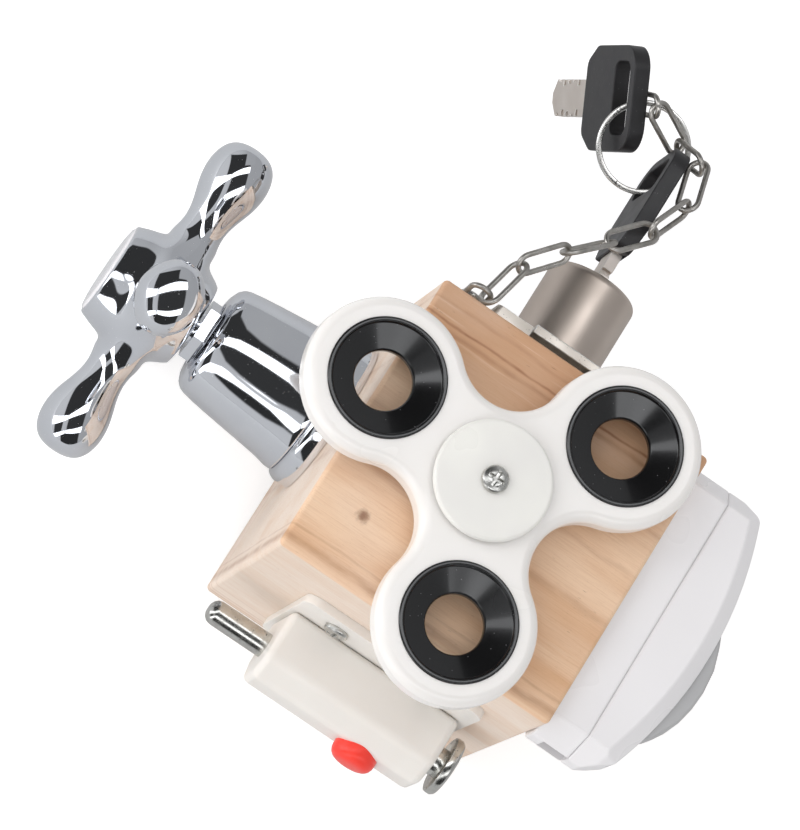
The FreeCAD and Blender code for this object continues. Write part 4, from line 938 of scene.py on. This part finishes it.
@dataclass
class BoltLatch:
    """Nylon latch with a steel bolt, a pull disc and a red button."""

    axis: Pair = (-38.9, 25.5)
    body: Pair = (-17.5, 20.5)
    section: tuple[Pair, ...] = (
        (-31.8, 17.0), (-42.0, 17.0), (-46.0, 21.0), (-46.0, 29.6), (-42.0, 33.6), (-31.8, 33.6))
    neck_radius: float = 3.0
    neck_length: float = 1.7
    bolt_radius: float = 2.5
    bolt_start: float = -30.5
    disc_start: float = 22.5
    disc_radius: float = 6.0
    disc_thick: float = 2.2
    button: Triple = (7.7, -46.0, 25.5)
    button_radius: float = 4.5
    button_rise: float = 3.2

    def build(self, bench: Bench) -> None:
        """Builds the latch's pieces."""
        bm = bench.loft([[(x, *corner) for corner in self.section] for x in self.body])
        bench.soften(bm, 1.5, 20.0, 5)
        bench.fit(bm, "latch_case", Look.NYLON, "latch_body", 40.0)
        bench.smooth_copy("latch_flange", Look.NYLON, 0.45, 40.0, 3)
        length, radius = self.disc_start - self.bolt_start, self.bolt_radius
        bench.turned([(0.0, 0.0), (1.0, 0.06), (1.7, 0.4), (2.25, 1.0), (radius, 1.9), (radius, length),
                      (0.0, length)], "bolt_pin", Look.PIN, "latch_bolt", (self.bolt_start, *self.axis),
                     (1, 0, 0), steps=64)
        wide, thick = self.disc_radius, self.disc_thick
        neck, back = self.neck_radius, -self.neck_length
        bench.turned([(0.0, back), (neck, back), (neck, 0.0), (wide - 0.6, 0.0), (wide - 0.1, 0.25),
                      (wide, 0.7), (wide, thick - 0.7), (wide - 0.4, thick - 0.15), (wide - 1.0, thick),
                      (wide - 1.6, thick - 0.25), (0.0, thick - 0.3)], "pull_disc", Look.PIN, "latch_knob",
                     (self.disc_start, *self.axis), (1, 0, 0))
        rise, wide = self.button_rise, self.button_radius
        bench.turned([(0.0, rise), (1.6, rise - 0.05), (2.9, rise - 0.2), (3.6, rise - 0.5),
                      (4.1, rise - 1.0), (wide - 0.1, rise - 1.7), (wide, rise - 2.4), (wide, 0.0),
                      (wide, -1.5), (1.5, -1.5), (1.5, -2.8), (0.0, -2.8)], "red_button", Look.RED,
                     "latch_button", self.button, (0, -1, 0), shade=50.0)
        bench.smooth_copy("latch_screws", Look.SCREW, 0.06, 40.0)
        bench.dress(Look.NYLON, "latch_collar")
        bench.dress(Look.SPRING, "latch_spring", "latch_button_spring")


@dataclass(frozen=True)
class Panel:
    """A part of the studio as a mirror ball shows it.

    Limits are shares of the ball's radius, right and up from its middle; flare is how much taller the
    panel gets with its distance from the seam between the left and right panels.
    """

    left: float
    right: float
    low: float
    high: float
    tone: float
    flare: float = 0.0


@dataclass(frozen=True)
class Lamp:
    """A rectangular lamp for matt surfaces, its direction from the cube in the camera's own axes."""

    name: str
    right: float
    up: float
    width: float
    height: float
    light: float
    distance: float = 1.3


@dataclass
class Studio:
    """Floor, surroundings, lamps and camera."""

    camera_mm: Triple = (-140.515, -271.572, 959.325)
    camera_right: Triple = (0.81898105, 0.51042802, 0.26217031)
    camera_up: Triple = (-0.56042017, 0.80965364, 0.17432789)
    camera_back: Triple = (-0.12328531, -0.28969677, 0.94914515)
    focal: float = 223.81
    centre_mm: Triple = (-12.0, 8.0, 35.0)
    tilt: float = 3.59
    floor_size: float = 3.0
    floor_glow: float = 0.42
    ambient: float = 0.74
    seam: float = -0.165
    panels: tuple[Panel, ...] = (
        Panel(-0.34, 0.36, 0.18, 0.66, 0.035),
        Panel(0.2, 0.5, 0.3, 0.9, 0.42),
        Panel(-0.13, 0.33, -0.2, 0.1, 0.04),
        Panel(-0.57, -0.30, -0.2, 0.1, 0.04),
        Panel(-0.30, 0.28, -0.80, -0.28, 0.03),
        Panel(-0.64, -0.18, 0.09, 0.18, 3.2, 0.22),
        Panel(-0.145, 0.36, 0.095, 0.185, 3.2, 0.12),
        Panel(-0.63, -0.18, -0.28, -0.2, 3.0, 0.2),
        Panel(-0.145, 0.32, -0.275, -0.195, 3.0, 0.12),
    )
    lamps: tuple[Lamp, ...] = (
        Lamp("upper_left", -0.45, 0.5, 1.2, 0.5, 1.75),
        Lamp("lower_left", -0.5, -0.35, 1.2, 0.5, 1.2),
        Lamp("side_left", -0.86, 0.44, 1.0, 0.6, 2.6),
        Lamp("side_low", -0.5, -0.8, 1.0, 0.6, 1.3),
    )

    def floor(self) -> None:
        """A pale floor that the cube's lower edge and the tap's lowest ball rest on."""
        bm = bmesh.new()
        bmesh.ops.create_grid(bm, x_segments=1, y_segments=1, size=self.floor_size)
        slope = math.radians(self.tilt)
        turn = Matrix.Translation((30 * MM, 0, -0.05 * MM)) @ Matrix.Rotation(-slope, 4, "Y")
        bmesh.ops.transform(bm, matrix=turn, verts=bm.verts)
        mesh = bpy.data.meshes.new("floor")
        bm.to_mesh(mesh)
        bm.free()
        material = bpy.data.materials.new("floor_paper")
        material.use_nodes = True
        tree = Tree(material.node_tree)
        material.node_tree.nodes.clear()
        ray = tree.add("LightPath")
        paper = tree.blend(ray.outputs["Is Glossy Ray"], (0.86, 0.86, 0.86, 1.0), (0.6, 0.61, 0.62, 1.0))
        diffuse = tree.add("BsdfDiffuse", {"Color": paper})
        seen = tree.math("MULTIPLY", ray.outputs["Is Camera Ray"], self.floor_glow)
        glow = tree.add("Emission", {"Color": (1.0, 1.0, 1.0, 1.0), "Strength": seen})
        both = tree.add("AddShader", {0: diffuse.outputs[0], 1: glow.outputs[0]})
        end = tree.add("OutputMaterial", {0: both.outputs[0]})
        end.is_active_output = True
        mesh.materials.append(material)
        floor = bpy.data.objects.new("floor", mesh)
        bpy.context.scene.collection.objects.link(floor)

    def surroundings(self) -> None:
        """Even light for matt surfaces, a studio's panels for glossy ones, and white for the camera."""
        world = bpy.data.worlds.new("studio")
        bpy.context.scene.world = world
        world.use_nodes = True
        tree = Tree(world.node_tree)
        world.node_tree.nodes.clear()
        ray = tree.add("LightPath")
        way = tree.add("TexCoord").outputs["Generated"]
        depth, across, height = (
            tree.add("VectorMath", {0: way, 1: axis}, operation="DOT_PRODUCT").outputs["Value"]
            for axis in (self.camera_back, self.camera_right, self.camera_up))
        longer = tree.math("SQRT", tree.math("MULTIPLY_ADD", depth, 2.0, 2.0005))
        across, height = tree.math("DIVIDE", across, longer), tree.math("DIVIDE", height, longer)
        walls = tree.span(across, -0.5, 0.45, 0.62, 0.4)
        far = tree.math("ABSOLUTE", tree.math("SUBTRACT", across, self.seam))
        for panel in self.panels:
            mask = self.panel(tree, panel, across, height, far)
            walls = tree.math("MULTIPLY_ADD", mask, tree.math("SUBTRACT", panel.tone, walls), walls)
        walls = tree.add("CombineColor", {0: tree.math("MULTIPLY", walls, 0.985), 1: walls,
                                          2: tree.math("MULTIPLY", walls, 1.025)}).outputs[0]
        even = (self.ambient, self.ambient, self.ambient * 1.01, 1.0)
        seen = tree.blend(ray.outputs["Is Glossy Ray"], even, walls)
        white = tree.math("MAXIMUM", ray.outputs["Is Camera Ray"], ray.outputs["Is Transmission Ray"])
        seen = tree.blend(white, seen, (1.0, 1.0, 1.0, 1.0))
        shade = tree.add("Background", {"Color": seen, "Strength": 1.0})
        tree.add("OutputWorld", {0: shade.outputs[0]})

    @staticmethod
    def panel(tree: Tree, panel: Panel, across: Any, height: Any, far: Any) -> Socket:
        """A panel's mask.

        Args:
            tree: the world's tree.
            panel: the panel.
            across, height: the place on the mirror ball.
            far: the distance from the seam.

        Returns:
            A mask that is 1 inside the panel, with a slightly soft rim.
        """
        rim = 0.012
        outward = 1.0 if panel.high > 0 else -1.0
        stretch = tree.math("MULTIPLY", far, panel.flare * outward)
        low, high = (panel.low, tree.math("ADD", stretch, panel.high)) if outward > 0 else (
            tree.math("ADD", stretch, panel.low), panel.high)
        sides = ((across, panel.left, 1.0), (across, panel.right, -1.0), (height, low, 1.0),
                 (height, high, -1.0))
        mask = 1.0
        for value, limit, sign in sides:
            inside = tree.math("MULTIPLY", tree.math("SUBTRACT", value, limit), sign)
            mask = tree.math("MULTIPLY", mask, tree.span(inside, -rim, rim))
        return mask

    def light(self) -> None:
        """The lamps that matt surfaces see."""
        centre = Vector(self.centre_mm) * MM
        right, up, back = Vector(self.camera_right), Vector(self.camera_up), Vector(self.camera_back)
        for box in self.lamps:
            depth = math.sqrt(max(0.05, 1.0 - box.right ** 2 - box.up ** 2))
            way = (right * box.right + up * box.up + back * depth).normalized()
            data = bpy.data.lights.new(box.name, "AREA")
            data.shape = "RECTANGLE"
            data.size, data.size_y = box.width, box.height
            data.energy = box.light * math.pi * box.width * box.height
            lamp = bpy.data.objects.new(box.name, data)
            side = (right - way * right.dot(way)).normalized()
            turn = Matrix((side, way.cross(side), way)).transposed().to_4x4()
            lamp.matrix_world = Matrix.Translation(centre + way * box.distance) @ turn
            lamp.visible_glossy = False
            bpy.context.scene.collection.objects.link(lamp)

    def camera(self) -> None:
        """The photograph's viewpoint."""
        data = bpy.data.cameras.new("camera")
        data.sensor_width = 36.0
        data.sensor_fit = "AUTO"
        data.lens = self.focal
        data.clip_end = 20.0
        camera = bpy.data.objects.new("camera", data)
        turn = Matrix((self.camera_right, self.camera_up, self.camera_back)).transposed().to_4x4()
        camera.matrix_world = Matrix.Translation(Vector(self.camera_mm) * MM) @ turn
        bpy.context.scene.collection.objects.link(camera)
        bpy.context.scene.camera = camera

    def build(self) -> None:
        """Builds the stage."""
        self.floor()
        self.surroundings()
        self.light()
        self.camera()
        bpy.context.scene.view_settings.view_transform = "Standard"


def main() -> None:
    """Builds every sub-assembly and the stage."""
    logging.basicConfig(level=logging.INFO, format="%(message)s")
    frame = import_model()
    bench = Bench(frame)
    for assembly in (WoodenBlock(), HandSpinner(), CrossTap(), CylinderLock(), KeysAndChain(), CordSwitch(),
                     BoltLatch()):
        assembly.build(bench)
        LOG.info("%s done, %d pieces so far", type(assembly).__name__, bench.count)
    Studio().build()


if __name__ == "__main__":
    main()
